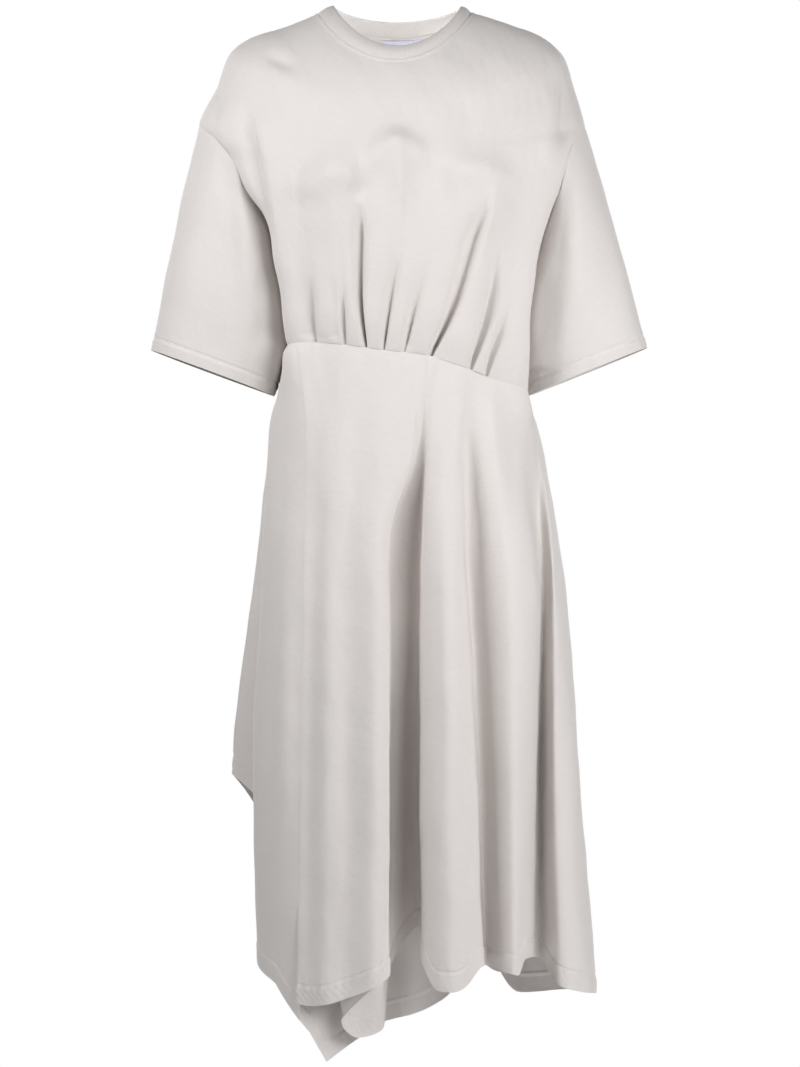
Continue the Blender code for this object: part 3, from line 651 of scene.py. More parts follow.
@dataclass(frozen=True)
class SkirtForm:
    """Outer surface of the skirt. The place counts the folds of the table round the ring."""
    bodice: BodiceForm
    hip: float = -500.0
    thigh: float = -700.0
    knee: float = -880.0
    shin: float = -1150.0
    ease_in: float = 60.0

    def waist_angle(self, place: Array) -> Array:
        """Angle on the waist seam at which a column of the skirt starts."""
        count = len(SKIRT)
        keys = np.arange(-1, count + 2)
        angles = [SKIRT[k % count].waist_angle + 360 * (k // count) for k in keys]
        return smooth(keys, angles, place)

    def waist_ring(self, place: Array) -> Array:
        """Points of the waist seam, shared by the skirt's top edge and the bodice."""
        angle = self.waist_angle(place)
        return self.bodice.point(angle, np.full(angle.shape, WAIST), pleated=False)

    def track(self, fold: Fold, z: Array) -> Array:
        """Plan position of one fold at height z."""
        waist = self.bodice.point(np.float64(fold.waist_angle), np.float64(WAIST), pleated=False)
        keys = (self.shin, self.knee, self.thigh, self.hip, float(waist[2]))
        places = (fold.shin, fold.knee, fold.thigh, fold.hip, waist[:2])
        plain = np.stack([smooth(keys, [p[k] for p in places], z) for k in (0, 1)], axis=-1)
        for bend in BENDS:
            if bend.fold == fold.name:
                away = z - bend.z
                share = bell(away / np.where(away > 0, bend.above, bend.below))
                plain = plain + share[..., None] * np.array((bend.x, bend.y))
        return plain

    def point(self, place: Array, z: Array) -> Array:
        """Outer points of the skirt.

        Args:
            place: where round the ring, counted in folds.
            z: heights.

        Returns:
            Points in millimetres.
        """
        count = len(SKIRT)
        first = np.floor(place).astype(int)
        share = place - first
        own = np.indices(z.shape)

        def plan(height: Array) -> Array:
            """The ring's outline at a height."""
            tracks = np.array([self.track(fold, height) for fold in SKIRT])
            near = [tracks[((first + k) % count, *own)] for k in (-1, 0, 1, 2)]
            return centripetal(*near, share)

        waist = self.waist_ring(place)
        near_waist = ease(1 - (waist[..., 2] - z) / self.ease_in)[..., None]
        flat = plan(z) + (waist[..., :2] - plan(np.zeros_like(z))) * near_waist
        return np.concatenate((flat, z[..., None]), axis=-1)

    def hem_height(self, place: Array) -> Array:
        """Height of the hem."""
        count = len(SKIRT)
        keys = np.arange(-2, count + 3)
        height = smooth(keys, [SKIRT[k % count].hem_z for k in keys], place)
        for bend in HEM_BENDS:
            height = height - bend.drop * bell((place - bend.place) / bend.width)
        return height


# ----------------------------------------------------------------------------------- cloth panels


@dataclass
class Panel:
    """One piece of cloth: a grid of outer points, in millimetres, closed to a thin wall."""
    name: str
    slot: Slot
    points: Array
    way: float = 1.0
    wall: float = JERSEY_WALL
    closed: bool = False
    missing: Array | None = None
    replaces: tuple[str, ...] = ()
    normals: Array | None = None

    def facing(self) -> Array:
        """Outward normals of the grid."""
        down = np.gradient(self.points, axis=0)
        if self.closed:
            across = np.roll(self.points, -1, axis=1) - np.roll(self.points, 1, axis=1)
        else:
            across = np.gradient(self.points, axis=1)
        return self.way * unit(np.cross(down, across))

    def out(self) -> Array:
        """Directions in which the cloth is pressed and its wall is thick."""
        return self.facing() if self.normals is None else self.normals

    def press(self, move: Array) -> None:
        """Move the grid out along its normals."""
        self.points = self.points + self.out() * move[..., None]

    def from_edge(self, edge: str) -> Array:
        """Distance of each point from one edge.

        Args:
            edge: top, hem, first or last.

        Returns:
            Millimetres along the cloth.
        """
        axis = 0 if edge in ("top", "hem") else 1
        along = lengths_along(self.points, axis)
        if edge in ("top", "first"):
            return along
        return np.take(along, [-1], axis=axis) - along

    def sew(self, *edges: str, sink: float = SEAM_SINK) -> None:
        """Roll edges in where they are sewn to another piece."""
        for edge in edges:
            self.press(-sink * bell(self.from_edge(edge) / SEAM_SOFT))

    def line_from(self, edge: str, distance: float, inside: bool = False) -> tuple[Array, Array]:
        """Points and normals along the cloth at a distance from its top or hem.

        Args:
            edge: top or hem.
            distance: millimetres from it.
            inside: whether the line is on the inner face.

        Returns:
            The points and their normals.
        """
        away, facing = self.from_edge(edge), self.facing()
        order = slice(None) if edge == "top" else slice(None, None, -1)
        line, normal = [], []
        for c in range(self.points.shape[1]):
            keys = away[order, c]
            line.append([np.interp(distance, keys, self.points[order, c, k]) for k in range(3)])
            normal.append([np.interp(distance, keys, facing[order, c, k]) for k in range(3)])
        line, normal = np.array(line), unit(np.array(normal))
        if inside:
            return line - normal * self.wall, -normal
        return line, normal

    def wrapped(self) -> Array:
        """The grid, with its first column again at the end where it is closed."""
        if not self.closed:
            return self.points
        return np.concatenate((self.points, self.points[:, :1]), axis=1)

    def uv(self) -> Array:
        """Place of each point on the flat cloth, in metres."""
        grid = self.wrapped()
        across, down = lengths_along(grid, 1), lengths_along(grid, 0)
        middle = across[:, across.shape[1] // 2][:, None]
        return np.stack((across - middle, -down), axis=-1) * MILLIMETRE

    def build(self, finish: bpy.types.Material) -> bpy.types.Object:
        """Make the wall's object.

        Args:
            finish: material of the cloth.

        Returns:
            The new object, riding on the part.
        """
        rows, columns = self.points.shape[:2]
        outer, inner = self.points, self.points - self.out() * self.wall
        wide = columns + self.closed
        place = np.arange(rows * wide).reshape(rows, wide)
        vertex = (place // wide * columns + place % wide % columns).ravel()
        corner = np.stack((place[:-1, :-1], place[1:, :-1], place[1:, 1:], place[:-1, 1:]), axis=-1)
        keep = np.ones(corner.shape[:2], bool) if self.missing is None else ~self.missing
        quads = corner[keep]
        if self.way < 0:
            quads = quads[:, ::-1]
        edges = np.concatenate([quads[:, (k, (k + 1) % 4)] for k in range(4)])
        size, spread = rows * columns, rows * wide
        ends = vertex[edges]
        forward = ends[:, 0] * size + ends[:, 1]
        backward = ends[:, 1] * size + ends[:, 0]
        rim = edges[~np.isin(forward, backward)]
        rim_quads = np.stack((rim[:, 1], rim[:, 0], rim[:, 0] + spread, rim[:, 1] + spread), axis=-1)
        marks = np.concatenate((quads, quads[:, ::-1] + spread, rim_quads))
        points = np.concatenate((outer.reshape(-1, 3), inner.reshape(-1, 3))) * MILLIMETRE
        uv = np.tile(self.uv().reshape(-1, 2), (2, 1))[marks]
        used, faces = np.unique(np.concatenate((vertex, vertex + size))[marks], return_inverse=True)
        made = cloth_object(self.name, points[used], faces.reshape(-1, 4), uv, finish)
        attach(made, BODY)
        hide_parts(*self.replaces)
        log.info("%s: %d faces, %.3f by %.3f m, %.4f m2 of cloth", self.name, len(faces) // 4,
                 *self.reach(), self.area())
        return made

    def reach(self) -> Pair:
        """Greatest width and length of the cloth, in metres."""
        across, down = lengths_along(self.wrapped(), 1), lengths_along(self.points, 0)
        return float(across.max()) * MILLIMETRE, float(down.max()) * MILLIMETRE

    def area(self) -> float:
        """Area of the outer face, in square metres."""
        grid = self.wrapped()
        one, two = grid[1:, 1:] - grid[:-1, :-1], grid[1:, :-1] - grid[:-1, 1:]
        area = np.linalg.norm(np.cross(one, two), axis=-1) / 2
        if self.missing is not None:
            area = area[~self.missing]
        return float(area.sum()) * MILLIMETRE ** 2


def cloth_object(name: str, points: Array, faces: Array, uv: Array | None,
                 finish: bpy.types.Material) -> bpy.types.Object:
    """Make a smooth-shaded object with sharp rims.

    Args:
        name: the object's name.
        points: vertices in metres.
        faces: four vertices for each face.
        uv: place of each face's corners on the flat cloth, or None.
        finish: its material.

    Returns:
        The new object.
    """
    data = bpy.data.meshes.new(name)
    data.vertices.add(len(points))
    data.vertices.foreach_set("co", points.astype(np.float32).ravel())
    data.loops.add(faces.size)
    data.loops.foreach_set("vertex_index", faces.astype(np.int32).ravel())
    data.polygons.add(len(faces))
    data.polygons.foreach_set("loop_start", np.arange(0, faces.size, faces.shape[1], dtype=np.int32))
    data.update(calc_edges=True)
    if uv is not None:
        layer = data.uv_layers.new(name="cloth")
        layer.data.foreach_set("uv", uv.astype(np.float32).ravel())
    data.shade_smooth()
    data.set_sharp_from_angle(angle=math.radians(50))
    data.materials.append(finish)
    made = bpy.data.objects.new(name, data)
    bpy.context.scene.collection.objects.link(made)
    return made


# -------------------------------------------------------------------------------------- stitching


@dataclass(frozen=True)
class Stitching:
    """Thread laid along lines on the cloth, one short bar for each stitch."""
    name: str
    slot: Slot
    length: float = 2.7
    gap: float = 0.9
    radius: float = 0.26
    sides: int = 6
    rings: tuple[Pair, ...] = ((-0.5, 0.25), (-0.36, 0.9), (0.36, 0.9), (0.5, 0.25))

    def build(self, lines: Sequence[tuple[Array, Array]], thread: bpy.types.Material) -> bpy.types.Object:
        """Lay the stitches.

        Args:
            lines: points and normals of each line.
            thread: material of the thread.

        Returns:
            One object with all the stitches.
        """
        points, faces = [], []
        turn = np.linspace(0, 2 * math.pi, self.sides, endpoint=False)
        for line, normal in lines:
            along = lengths_along(line[None], 1)[0]
            count = int(along[-1] / (self.length + self.gap))
            centres = (np.arange(count) + 0.5) * along[-1] / max(count, 1)

            def at(places: Array, what: Array) -> Array:
                """Something read along the line."""
                return np.stack([np.interp(places, along, what[:, k]) for k in range(3)], axis=-1)

            middle, up = at(centres, line), unit(at(centres, normal))
            heading = unit(at(centres + 1, line) - at(centres - 1, line))
            aside = np.cross(up, heading)
            for share, thick in self.rings:
                ring = (middle + heading * share * self.length)[:, None] + self.radius * thick * (
                    aside[:, None] * np.cos(turn)[:, None] + up[:, None] * np.sin(turn)[:, None])
                points.append(ring.reshape(-1, 3))
            base = sum(len(f) for f in faces) and max(f.max() for f in faces) + 1
            number = np.arange(count * self.sides).reshape(count, self.sides)
            layer = count * self.sides
            for k in range(len(self.rings) - 1):
                one, two = number + k * layer, number + (k + 1) * layer
                quad = np.stack((one, np.roll(one, -1, 1), np.roll(two, -1, 1), two), axis=-1)
                faces.append(base + quad.reshape(-1, 4))
            for k, flip in ((0, True), (len(self.rings) - 1, False)):
                end = number + k * layer
                for corners in ((0, 1, 2, 3), (0, 3, 4, 5)):
                    quad = end[:, corners]
                    faces.append(base + (quad[:, ::-1] if flip else quad))
        made = cloth_object(self.name, np.concatenate(points) * MILLIMETRE, np.concatenate(faces), None, thread)
        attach(made, BODY)
        log.info("%s: %d faces", self.name, len(made.data.polygons))
        return made


# --------------------------------------------------------------------------------------- finishes


class Wire:
    """A shader socket that can be used in sums."""

    def __init__(self, tree: "Shader", socket: bpy.types.NodeSocket) -> None:
        """Wrap a socket of a tree."""
        self.tree, self.socket = tree, socket

    def _math(self, operation: str, *values: "Wire | float") -> "Wire":
        """A Math node on these values."""
        return self.tree.node("ShaderNodeMath", {"operation": operation}, dict(enumerate(values)))

    def __add__(self, other: "Wire | float") -> "Wire":
        """Sum."""
        return self._math("ADD", self, other)

    __radd__ = __add__

    def __sub__(self, other: "Wire | float") -> "Wire":
        """Difference."""
        return self._math("SUBTRACT", self, other)

    def __rsub__(self, other: float) -> "Wire":
        """Difference from a number."""
        return self._math("SUBTRACT", other, self)

    def __mul__(self, other: "Wire | float") -> "Wire":
        """Product."""
        return self._math("MULTIPLY", self, other)

    __rmul__ = __mul__

    def __pow__(self, other: float) -> "Wire":
        """Power."""
        return self._math("POWER", self, other)

    def sine(self) -> "Wire":
        """Sine, of radians."""
        return self._math("SINE", self)

    def size(self) -> "Wire":
        """Absolute value."""
        return self._math("ABSOLUTE", self)


class Shader:
    """Node tree of one material."""

    def __init__(self, name: str, roughness: float) -> None:
        """Start a material with a plain Principled shader."""
        self.material = bpy.data.materials.new(name)
        self.material.use_nodes = True
        self.nodes = self.material.node_tree.nodes
        self.links = self.material.node_tree.links
        self.surface = self.nodes["Principled BSDF"]
        self.set("Roughness", roughness)

    def set(self, name: str, value: "Wire | float | Sequence[float]") -> None:
        """Give the surface's socket a value or a link."""
        self._feed(self.surface.inputs[name], value)

    def _feed(self, socket: bpy.types.NodeSocket, value: "Wire | float | Sequence[float]") -> None:
        """Give a socket a value or a link."""
        if isinstance(value, Wire):
            self.links.new(value.socket, socket)
        else:
            socket.default_value = value

    def node(self, kind: str, settings: dict | None = None, inputs: dict | None = None,
             output: int | str = 0) -> Wire:
        """Add a node.

        Args:
            kind: the node's type.
            settings: its own settings, set first.
            inputs: values or links of its sockets, by name or number.
            output: which output is wanted.

        Returns:
            The output as a wire.
        """
        made = self.nodes.new(kind)
        for name, value in (settings or {}).items():
            setattr(made, name, value)
        for name, value in (inputs or {}).items():
            self._feed(made.inputs[name], value)
        return Wire(self, made.outputs[output])

    def cloth_place(self) -> tuple[Wire, Wire, Wire]:
        """Place on the flat cloth: the vector, across and down, in metres."""
        place = self.node("ShaderNodeUVMap", {"uv_map": "cloth"})
        parts = self.node("ShaderNodeSeparateXYZ", inputs={0: place})
        across = Wire(self, parts.socket.node.outputs[0])
        down = Wire(self, parts.socket.node.outputs[1])
        return place, across, down

    def stretched(self, place: Wire, scale: Sequence[float]) -> Wire:
        """A place with its axes scaled."""
        return self.node("ShaderNodeVectorMath", {"operation": "MULTIPLY"}, {0: place, 1: scale})

    def noise(self, place: Wire, scale: float, detail: float = 2.0, roughness: float = 0.5) -> Wire:
        """Noise between 0 and 1."""
        return self.node("ShaderNodeTexNoise", inputs={
            "Vector": place, "Scale": scale, "Detail": detail, "Roughness": roughness})

    def mix(self, factor: "Wire | float", low: Colour, high: "Colour | Wire") -> Wire:
        """Mix of two colours."""
        made = self.nodes.new("ShaderNodeMix")
        made.data_type = "RGBA"
        self._feed(made.inputs["Factor"], factor)
        for socket, value in ((made.inputs[6], low), (made.inputs[7], high)):
            self._feed(socket, value if isinstance(value, Wire) else (*value, 1.0))
        return Wire(self, made.outputs[2])

    def bump(self, height: Wire, strength: float, distance: float, below: Wire | None = None) -> Wire:
        """Normal raised by a height map, on another one where it is given."""
        inputs = {"Height": height, "Strength": strength, "Distance": distance}
        if below is not None:
            inputs["Normal"] = below
        return self.node("ShaderNodeBump", inputs=inputs)


@dataclass(frozen=True)
class JerseyFinish:
    """Matt single jersey: fine wales, heathered yarn and a little fluff."""
    name: str = "stone_jersey"
    light: Colour = (0.745, 0.705, 0.68)
    dark: Colour = (0.665, 0.622, 0.597)
    roughness: float = 0.93
    wale: float = 0.00105
    course: float = 0.0008
    sheen: float = 0.18

    def make(self) -> bpy.types.Material:
        """The material."""
        shader = Shader(self.name, self.roughness)
        place, across, down = shader.cloth_place()
        wale = (across * (math.pi / self.wale)).sine().size()
        loop = ((down * (2 * math.pi / self.course)) + wale * 2.4).sine()
        yarn = shader.noise(shader.stretched(place, (1.0, 0.35, 1.0)), 900.0, 3.0, 0.6)
        slub = shader.noise(shader.stretched(place, (0.25, 1.0, 1.0)), 260.0, 2.0, 0.55)
        patch = shader.noise(place, 14.0, 3.0, 0.5)
        shade = yarn * 0.5 + slub * 0.5 + patch * 0.16 - 0.05 - wale * 0.06
        shader.set("Base Color", shader.mix(shade, self.dark, self.light))
        knit = wale * 0.6 + loop * 0.18 + yarn * 0.5
        crumple = shader.noise(place, 70.0, 3.0, 0.55)
        soft = shader.bump(crumple, 0.35, 0.0016)
        shader.set("Normal", shader.bump(knit, 0.35, 0.00022, soft))
        shader.set("Sheen Weight", self.sheen)
        shader.set("Sheen Roughness", 0.5)
        shader.set("Specular IOR Level", 0.25)
        return shader.material


@dataclass(frozen=True)
class RibFinish:
    """Fine rib of the neck band, its wales running up from the seam, with painted shade in the rib's grooves.
    """
    name: str = "stone_rib"
    light: Colour = (0.735, 0.692, 0.668)
    dark: Colour = (0.60, 0.56, 0.54)
    roughness: float = 0.93
    rib: float = 0.0023

    def make(self) -> bpy.types.Material:
        """The material."""
        shader = Shader(self.name, self.roughness)
        place, across, down = shader.cloth_place()
        rib = (across * (math.pi / self.rib)).sine().size()
        yarn = shader.noise(shader.stretched(place, (1.0, 0.4, 1.0)), 850.0, 3.0, 0.6)
        # The colour is lighter on the rib's ridges and darker in its grooves: painted shade. The yarn noise
        # adds the yarn's own random tone.
        shader.set("Base Color", shader.mix(0.2 + rib * 0.45 + yarn * 0.35, self.dark, self.light))
        loop = (down * (2 * math.pi / 0.0009)).sine()
        shader.set("Normal", shader.bump(rib * 0.8 + loop * 0.08 + yarn * 0.25, 0.5, 0.0005))
        shader.set("Sheen Weight", 0.15)
        shader.set("Specular IOR Level", 0.25)
        return shader.material


@dataclass(frozen=True)
class LabelFinish:
    """Bare satin ribbon."""
    name: str = "lavender_ribbon"
    light: Colour = (0.74, 0.72, 0.88)
    dark: Colour = (0.62, 0.60, 0.77)
    roughness: float = 0.5

    def make(self) -> bpy.types.Material:
        """The material."""
        shader = Shader(self.name, self.roughness)
        place, _, down = shader.cloth_place()
        weft = (down * (2 * math.pi / 0.0005)).sine()
        thread = shader.noise(shader.stretched(place, (0.15, 1.0, 1.0)), 1500.0, 2.0, 0.5)
        shader.set("Base Color", shader.mix(0.3 + thread * 0.6, self.dark, self.light))
        shader.set("Normal", shader.bump(weft * 0.5 + thread, 0.3, 0.00012))
        return shader.material


@dataclass(frozen=True)
class ThreadFinish:
    """Spun sewing thread in the cloth's colour."""
    name: str = "stone_thread"
    light: Colour = (0.90, 0.87, 0.85)
    dark: Colour = (0.74, 0.70, 0.68)

    def make(self) -> bpy.types.Material:
        """The material."""
        shader = Shader(self.name, 0.75)
        place = shader.node("ShaderNodeTexCoord", output="Object")
        shader.set("Base Color", shader.mix(shader.noise(place, 2200.0), self.dark, self.light))
        return shader.material


@dataclass(frozen=True)
class FloorFinish:
    """Plain pale studio floor."""
    name: str = "pale_floor"
    light: Colour = (0.93, 0.93, 0.93)

    def make(self) -> bpy.types.Material:
        """The material."""
        shader = Shader(self.name, 0.9)
        place = shader.node("ShaderNodeTexCoord", output="Object")
        dimmer = tuple(0.985 * c for c in self.light)
        shader.set("Base Color", shader.mix(shader.noise(place, 3.0), dimmer, self.light))
        return shader.material


# ------------------------------------------------------------------------------------- assemblies


@dataclass(frozen=True)
class Cut:
    """Flat size of a piece of cloth, in metres, and its area."""
    width: float
    length: float
    area: float


def lifted(points: Array, creases: Sequence[Crease]) -> Array:
    """The summed move of several creases."""
    total = np.zeros(points.shape[:-1])
    for crease in creases:
        total += crease.lift(points)
    return total


def slack(points: Array, seed: int, amount: float = 0.45) -> Array:
    """Slight unevenness of hanging cloth, in millimetres."""
    x, y, z = points[..., 0] + 0.6 * points[..., 1], points[..., 1], points[..., 2]
    long = soft_noise(x, 0.45 * z, 46.0, seed)
    short = soft_noise(x, 0.5 * z + 0.3 * y, 17.0, seed + 1)
    return amount * long + 0.22 * amount * short


CHEST_CREASES = (
    Crease(((-181, -100), (-170, -160), (-160, -210), (-152, -262), (-149, -300)), 7, -5.5, lean=-0.4,
           rise=0.25),
    Crease(((-166, -110), (-152, -180), (-141, -250)), 10, 2.4, lean=0.2),
    Crease(((-216, -68), (-214, -105), (-221, -144)), 5, -3.0, rise=0.4, fall=0.5),
    Crease(((-160, -46), (-138, -57), (-116, -72)), 9, -3.8, rise=0.4, fall=0.5),
    Crease(((197, -72), (196, -120), (193, -172)), 6, -4.2, lean=0.3, rise=0.4, fall=0.4),
    Crease(((184, -74), (181, -125), (176, -190)), 9, 2.2),
    Crease(((-75, -156), (-72, -226), (-66, -304)), 26, 6.6, rise=0.32, fall=0.7),
    Crease(((-4, -136), (1, -190), (18, -268)), 13, 7.0, rise=0.2, fall=0.6),
    Crease(((95, -155), (91, -226), (80, -304)), 26, 6.6, rise=0.32, fall=0.7),
    Crease(((-40, -150), (-44, -190), (-45, -232)), 7, -2.6, rise=0.5, fall=0.2),
    Crease(((-110, -166), (-116, -196), (-118, -250)), 6, -2.4, rise=0.3, fall=0.6),
    Crease(((8, -205), (10, -240), (6, -270)), 4.5, -2.2, rise=0.4, fall=0.4),
    Crease(((44, -168), (52, -205), (56, -250)), 9, -2.2, rise=0.5, fall=0.4),
    Crease(((-126, -174), (-60, -172), (0, -164), (60, -172), (118, -174)), 38, 4.5, rise=0.2, fall=0.2),
    Crease(((-46, -196), (-32, -182), (-21, -168), (-10, -158), (3, -157), (15, -164), (28, -178),
            (44, -190)), 15, 6.6, rise=0.25, fall=0.25),
    Crease(((-116, -232), (-107, -212), (-88, -197), (-64, -192), (-44, -198), (-35, -216)), 17, 5.4),
    Crease(((40, -200), (62, -194), (90, -191), (112, -197), (124, -214), (127, -240)), 17, 5.4),
    Crease(((-40, -206), (-38, -236), (-37, -266)), 6, 1.8, rise=0.3, fall=0.5),
    Crease(((115, -206), (111, -236), (104, -276)), 7, 2.4, rise=0.3, fall=0.5),
    Crease(((120, -192), (127, -220), (128, -266)), 9, -3.0, rise=0.4, fall=0.5),
    Crease(((-122, -264), (-114, -330), (-106, -392)), 7, -2.2, rise=0.4, fall=0.1),
    Crease(((-98, -262), (-93, -330), (-89, -390)), 6, 1.4, rise=0.5, fall=0.1),
    Crease(((-82, -300), (-76, -345), (-74, -391)), 4.5, -2.2, rise=0.5, fall=0.1),
    Crease(((22, -330), (15, -370), (12, -402)), 4.0, -1.5, rise=0.5, fall=0.1),
)
BACK_CREASES = (
    Crease(((-150, -110), (-132, -190), (-118, -280), (-110, -390)), 12, -2.6, Side.BACK, 0.3),
    Crease(((-120, -160), (-100, -260), (-84, -400)), 11, 2.0, Side.BACK),
    Crease(((-60, -210), (-52, -310), (-50, -405)), 8, -2.4, Side.BACK, 0.3, rise=0.5, fall=0.1),
    Crease(((-16, -250), (-10, -330), (-12, -406)), 7, -2.0, Side.BACK, rise=0.5, fall=0.1),
    Crease(((36, -220), (34, -320), (30, -412)), 9, -2.6, Side.BACK, -0.3, rise=0.5, fall=0.1),
    Crease(((84, -200), (76, -310), (70, -420)), 8, -2.0, Side.BACK, rise=0.5, fall=0.1),
    Crease(((150, -112), (136, -200), (124, -300), (114, -420)), 12, -2.8, Side.BACK, -0.3),
    Crease(((-90, -70), (0, -92), (92, -72)), 16, -1.4, Side.BACK, rise=0.4, fall=0.4),
    Crease(((-206, -80), (-196, -110), (-190, -150)), 8, -2.2, Side.BACK, rise=0.4),
    Crease(((200, -80), (190, -112), (186, -150)), 8, -2.2, Side.BACK, rise=0.4),
)
SLEEVE_CREASES = (
    Crease(((-203, -150), (-200, -240), (-201, -330), (-204, -372)), 12, -2.2, Side.BOTH, 0.2),
    Crease(((-185, -200), (-182, -290), (-186, -360)), 9, 2.0, Side.BOTH),
    Crease(((-238, -170), (-250, -280), (-262, -370)), 20, 1.2, Side.BOTH),
    Crease(((-166, -290), (-166, -350), (-168, -410)), 7, -2.4, Side.FRONT, 0.3),
    Crease(((-214, -300), (-216, -350), (-220, -404)), 8, -1.2, Side.BOTH, rise=0.6, fall=0.1),
    Crease(((196, -170), (190, -260), (184, -350), (180, -420)), 14, -3.2, Side.BOTH, -0.2),
    Crease(((214, -200), (212, -290), (210, -380)), 11, 1.8, Side.BOTH),
    Crease(((240, -180), (250, -280), (262, -370)), 22, -1.2, Side.BOTH),
    Crease(((178, -300), (173, -350), (170, -400)), 7, -2.0, Side.FRONT, 0.2),
    Crease(((180, -205), (171, -265), (164, -320)), 16, 4.5, Side.BOTH),
    Crease(((172, -280), (164, -350), (160, -420)), 18, 5.5, Side.FRONT, fall=0.05),
    Crease(((-184, -200), (-170, -280), (-160, -340), (-153, -400)), 18, 6.5, Side.FRONT),
    Crease(((-148, -370), (-150, -410), (-153, -455)), 14, 4.5, Side.BOTH, fall=0.02),
)
SKIRT_CREASES = (
    Crease(((157, -452), (161, -470), (168, -500)), 22, 2.6, Side.BOTH, rise=0.4, fall=0.6),
    Crease(((-130, -385), (-138, -420), (-148, -462)), 17, 6.0, Side.BOTH, rise=0.1, fall=0.5),
    Crease(((78, -456), (84, -520), (92, -600), (98, -700)), 9, -3.0, rise=0.4, fall=0.3),
    Crease(((-133, -380), (-140, -434), (-146, -466)), 4, -1.6, rise=0.3, fall=0.5),
    Crease(((-70, -700), (-72, -850), (-66, -1000), (-63, -1130)), 14, 1.6, rise=0.4, fall=0.2),
    Crease(((-46, -410), (-52, -560), (-60, -700)), 14, -1.4, rise=0.2, fall=0.4),
    Crease(((56, -480), (62, -640), (66, -820), (70, -1000)), 12, 1.4, rise=0.4, fall=0.4),
    Crease(((44, -600), (46, -760), (46, -980)), 9, -1.1, rise=0.4, fall=0.4),
    Crease(((128, -470), (136, -560), (146, -640)), 9, -1.4, rise=0.3, fall=0.5),
    Crease(((-128, -640), (-132, -800), (-134, -1000)), 10, 1.6, Side.BOTH, rise=0.4, fall=0.4),
    Crease(((212, -900), (216, -1000), (222, -1100)), 8, -1.4, Side.BOTH, rise=0.4, fall=0.3),
    Crease(((60, -430), (64, -520), (72, -640)), 12, -2.0, Side.BACK, rise=0.3, fall=0.4),
    Crease(((-20, -420), (-26, -520), (-30, -660)), 12, -2.0, Side.BACK, rise=0.3, fall=0.4),
    Crease(((20, -700), (24, -850), (30, -1050)), 10, 1.8, Side.BACK, rise=0.4, fall=0.3),
    Crease(((120, -800), (122, -950), (128, -1100)), 9, 1.6, Side.BACK, rise=0.4, fall=0.3),
)


@dataclass
class Bodice:
    """Front and back of the bodice, sewn at the shoulders and the sides."""
    form: BodiceForm
    yoke_rows: int = 60
    armhole_rows: int = 56
    rib_rows: int = 78
    between: int = 5
    beside: int = 36
    back_columns: int = 170
    waist_sink: float = 0.25
    seam_cover: float = 0.4
    front_cut: Cut = Cut(0.60, 0.66, 0.216)
    back_cut: Cut = Cut(0.56, 0.62, 0.195)
    panels: dict[str, Panel] = field(default_factory=dict)

    def grid(self, front: bool) -> tuple[Array, Array]:
        """Angles and sections of one panel's grid.

        Args:
            front: whether it is the front.

        Returns:
            The angles and the sections.
        """
        even = np.concatenate((np.linspace(0, TIP, self.yoke_rows, endpoint=False),
                               np.linspace(TIP, UNDERARM, self.armhole_rows, endpoint=False),
                               np.linspace(UNDERARM, WAIST, self.rib_rows)))
        turn = math.pi * np.clip(even - TIP, 0, 1)
        edge_sections = np.where((even > TIP) & (even < UNDERARM), TIP + (1 - np.cos(turn)) / 2, even)
        angles, sections = [], []
        for at, edge_at in zip(even, edge_sections):
            if front:
                notch, middle = self.form.armhole_front, 0.0
                pleated = self.form.pleat_columns(max(at, UNDERARM), self.between, self.beside)
                plain = self.form.even_columns(middle, at, len(pleated))
                flat = plain + (pleated - plain) * float(ease(np.float64((at - 0.2) / 1.6)))
            else:
                notch, middle = self.form.armhole_back, 180.0
                flat = self.form.even_columns(middle, at, self.back_columns)
            cut = 90 - float(self.form.armhole_edge(np.float64(edge_at), notch))
            near = np.abs(flat / 90) ** 3
            angles.append(middle + flat - cut * signed_power(flat / 90, 2))
            sections.append(at + (edge_at - at) * near)
        return np.array(angles), np.array(sections)

    def build(self, finish: bpy.types.Material) -> None:
        """Make both panels and keep them."""
        for name, front, creases, cut in (("bodice_front", True, CHEST_CREASES, self.front_cut),
                                          ("bodice_back", False, BACK_CREASES, self.back_cut)):
            angle, at = self.grid(front)
            panel = Panel(name + "_cloth", Slot.JERSEY, self.form.point(angle, at), replaces=(name,),
                          normals=self.form.normals(angle, at))
            inner = ease(panel.from_edge("top") / 20) * ease(panel.from_edge("hem") / 8)
            panel.press((lifted(panel.points, creases) + slack(panel.points, 3)) * inner)
            panel.sew("top", "first", "last")
            panel.sew("hem", sink=self.waist_sink)
            panel.points[-1] += unit(panel.points[-1] - panel.points[-2]) * self.seam_cover
            below = panel.from_edge("top")
            panel.press(0.5 * ease((below - 0.4) / 1.2) * (1 - ease((below - 4.6) / 1.2))
                        - 0.35 * bell((below - 6.2) / 1.2))
            self.panels[name] = panel
            made = panel.build(finish)


class Cuff(NamedTuple):
    """Open end of a sleeve: its outer and inner corners, its middle, its half depth and how far
    its inner side swings to the waist above the hem."""
    outer: Pair
    inner: Pair
    middle_y: float
    half_depth: float
    square: float
    sway: float


CUFFS = {
    "sleeve_right": (-1, Cuff((-296, -396), (-153, -449), 10, 60, 2.3, 19)),
    "sleeve_left": (1, Cuff((299, -393), (158, -450), 10, 60, 2.3, 10)),
}


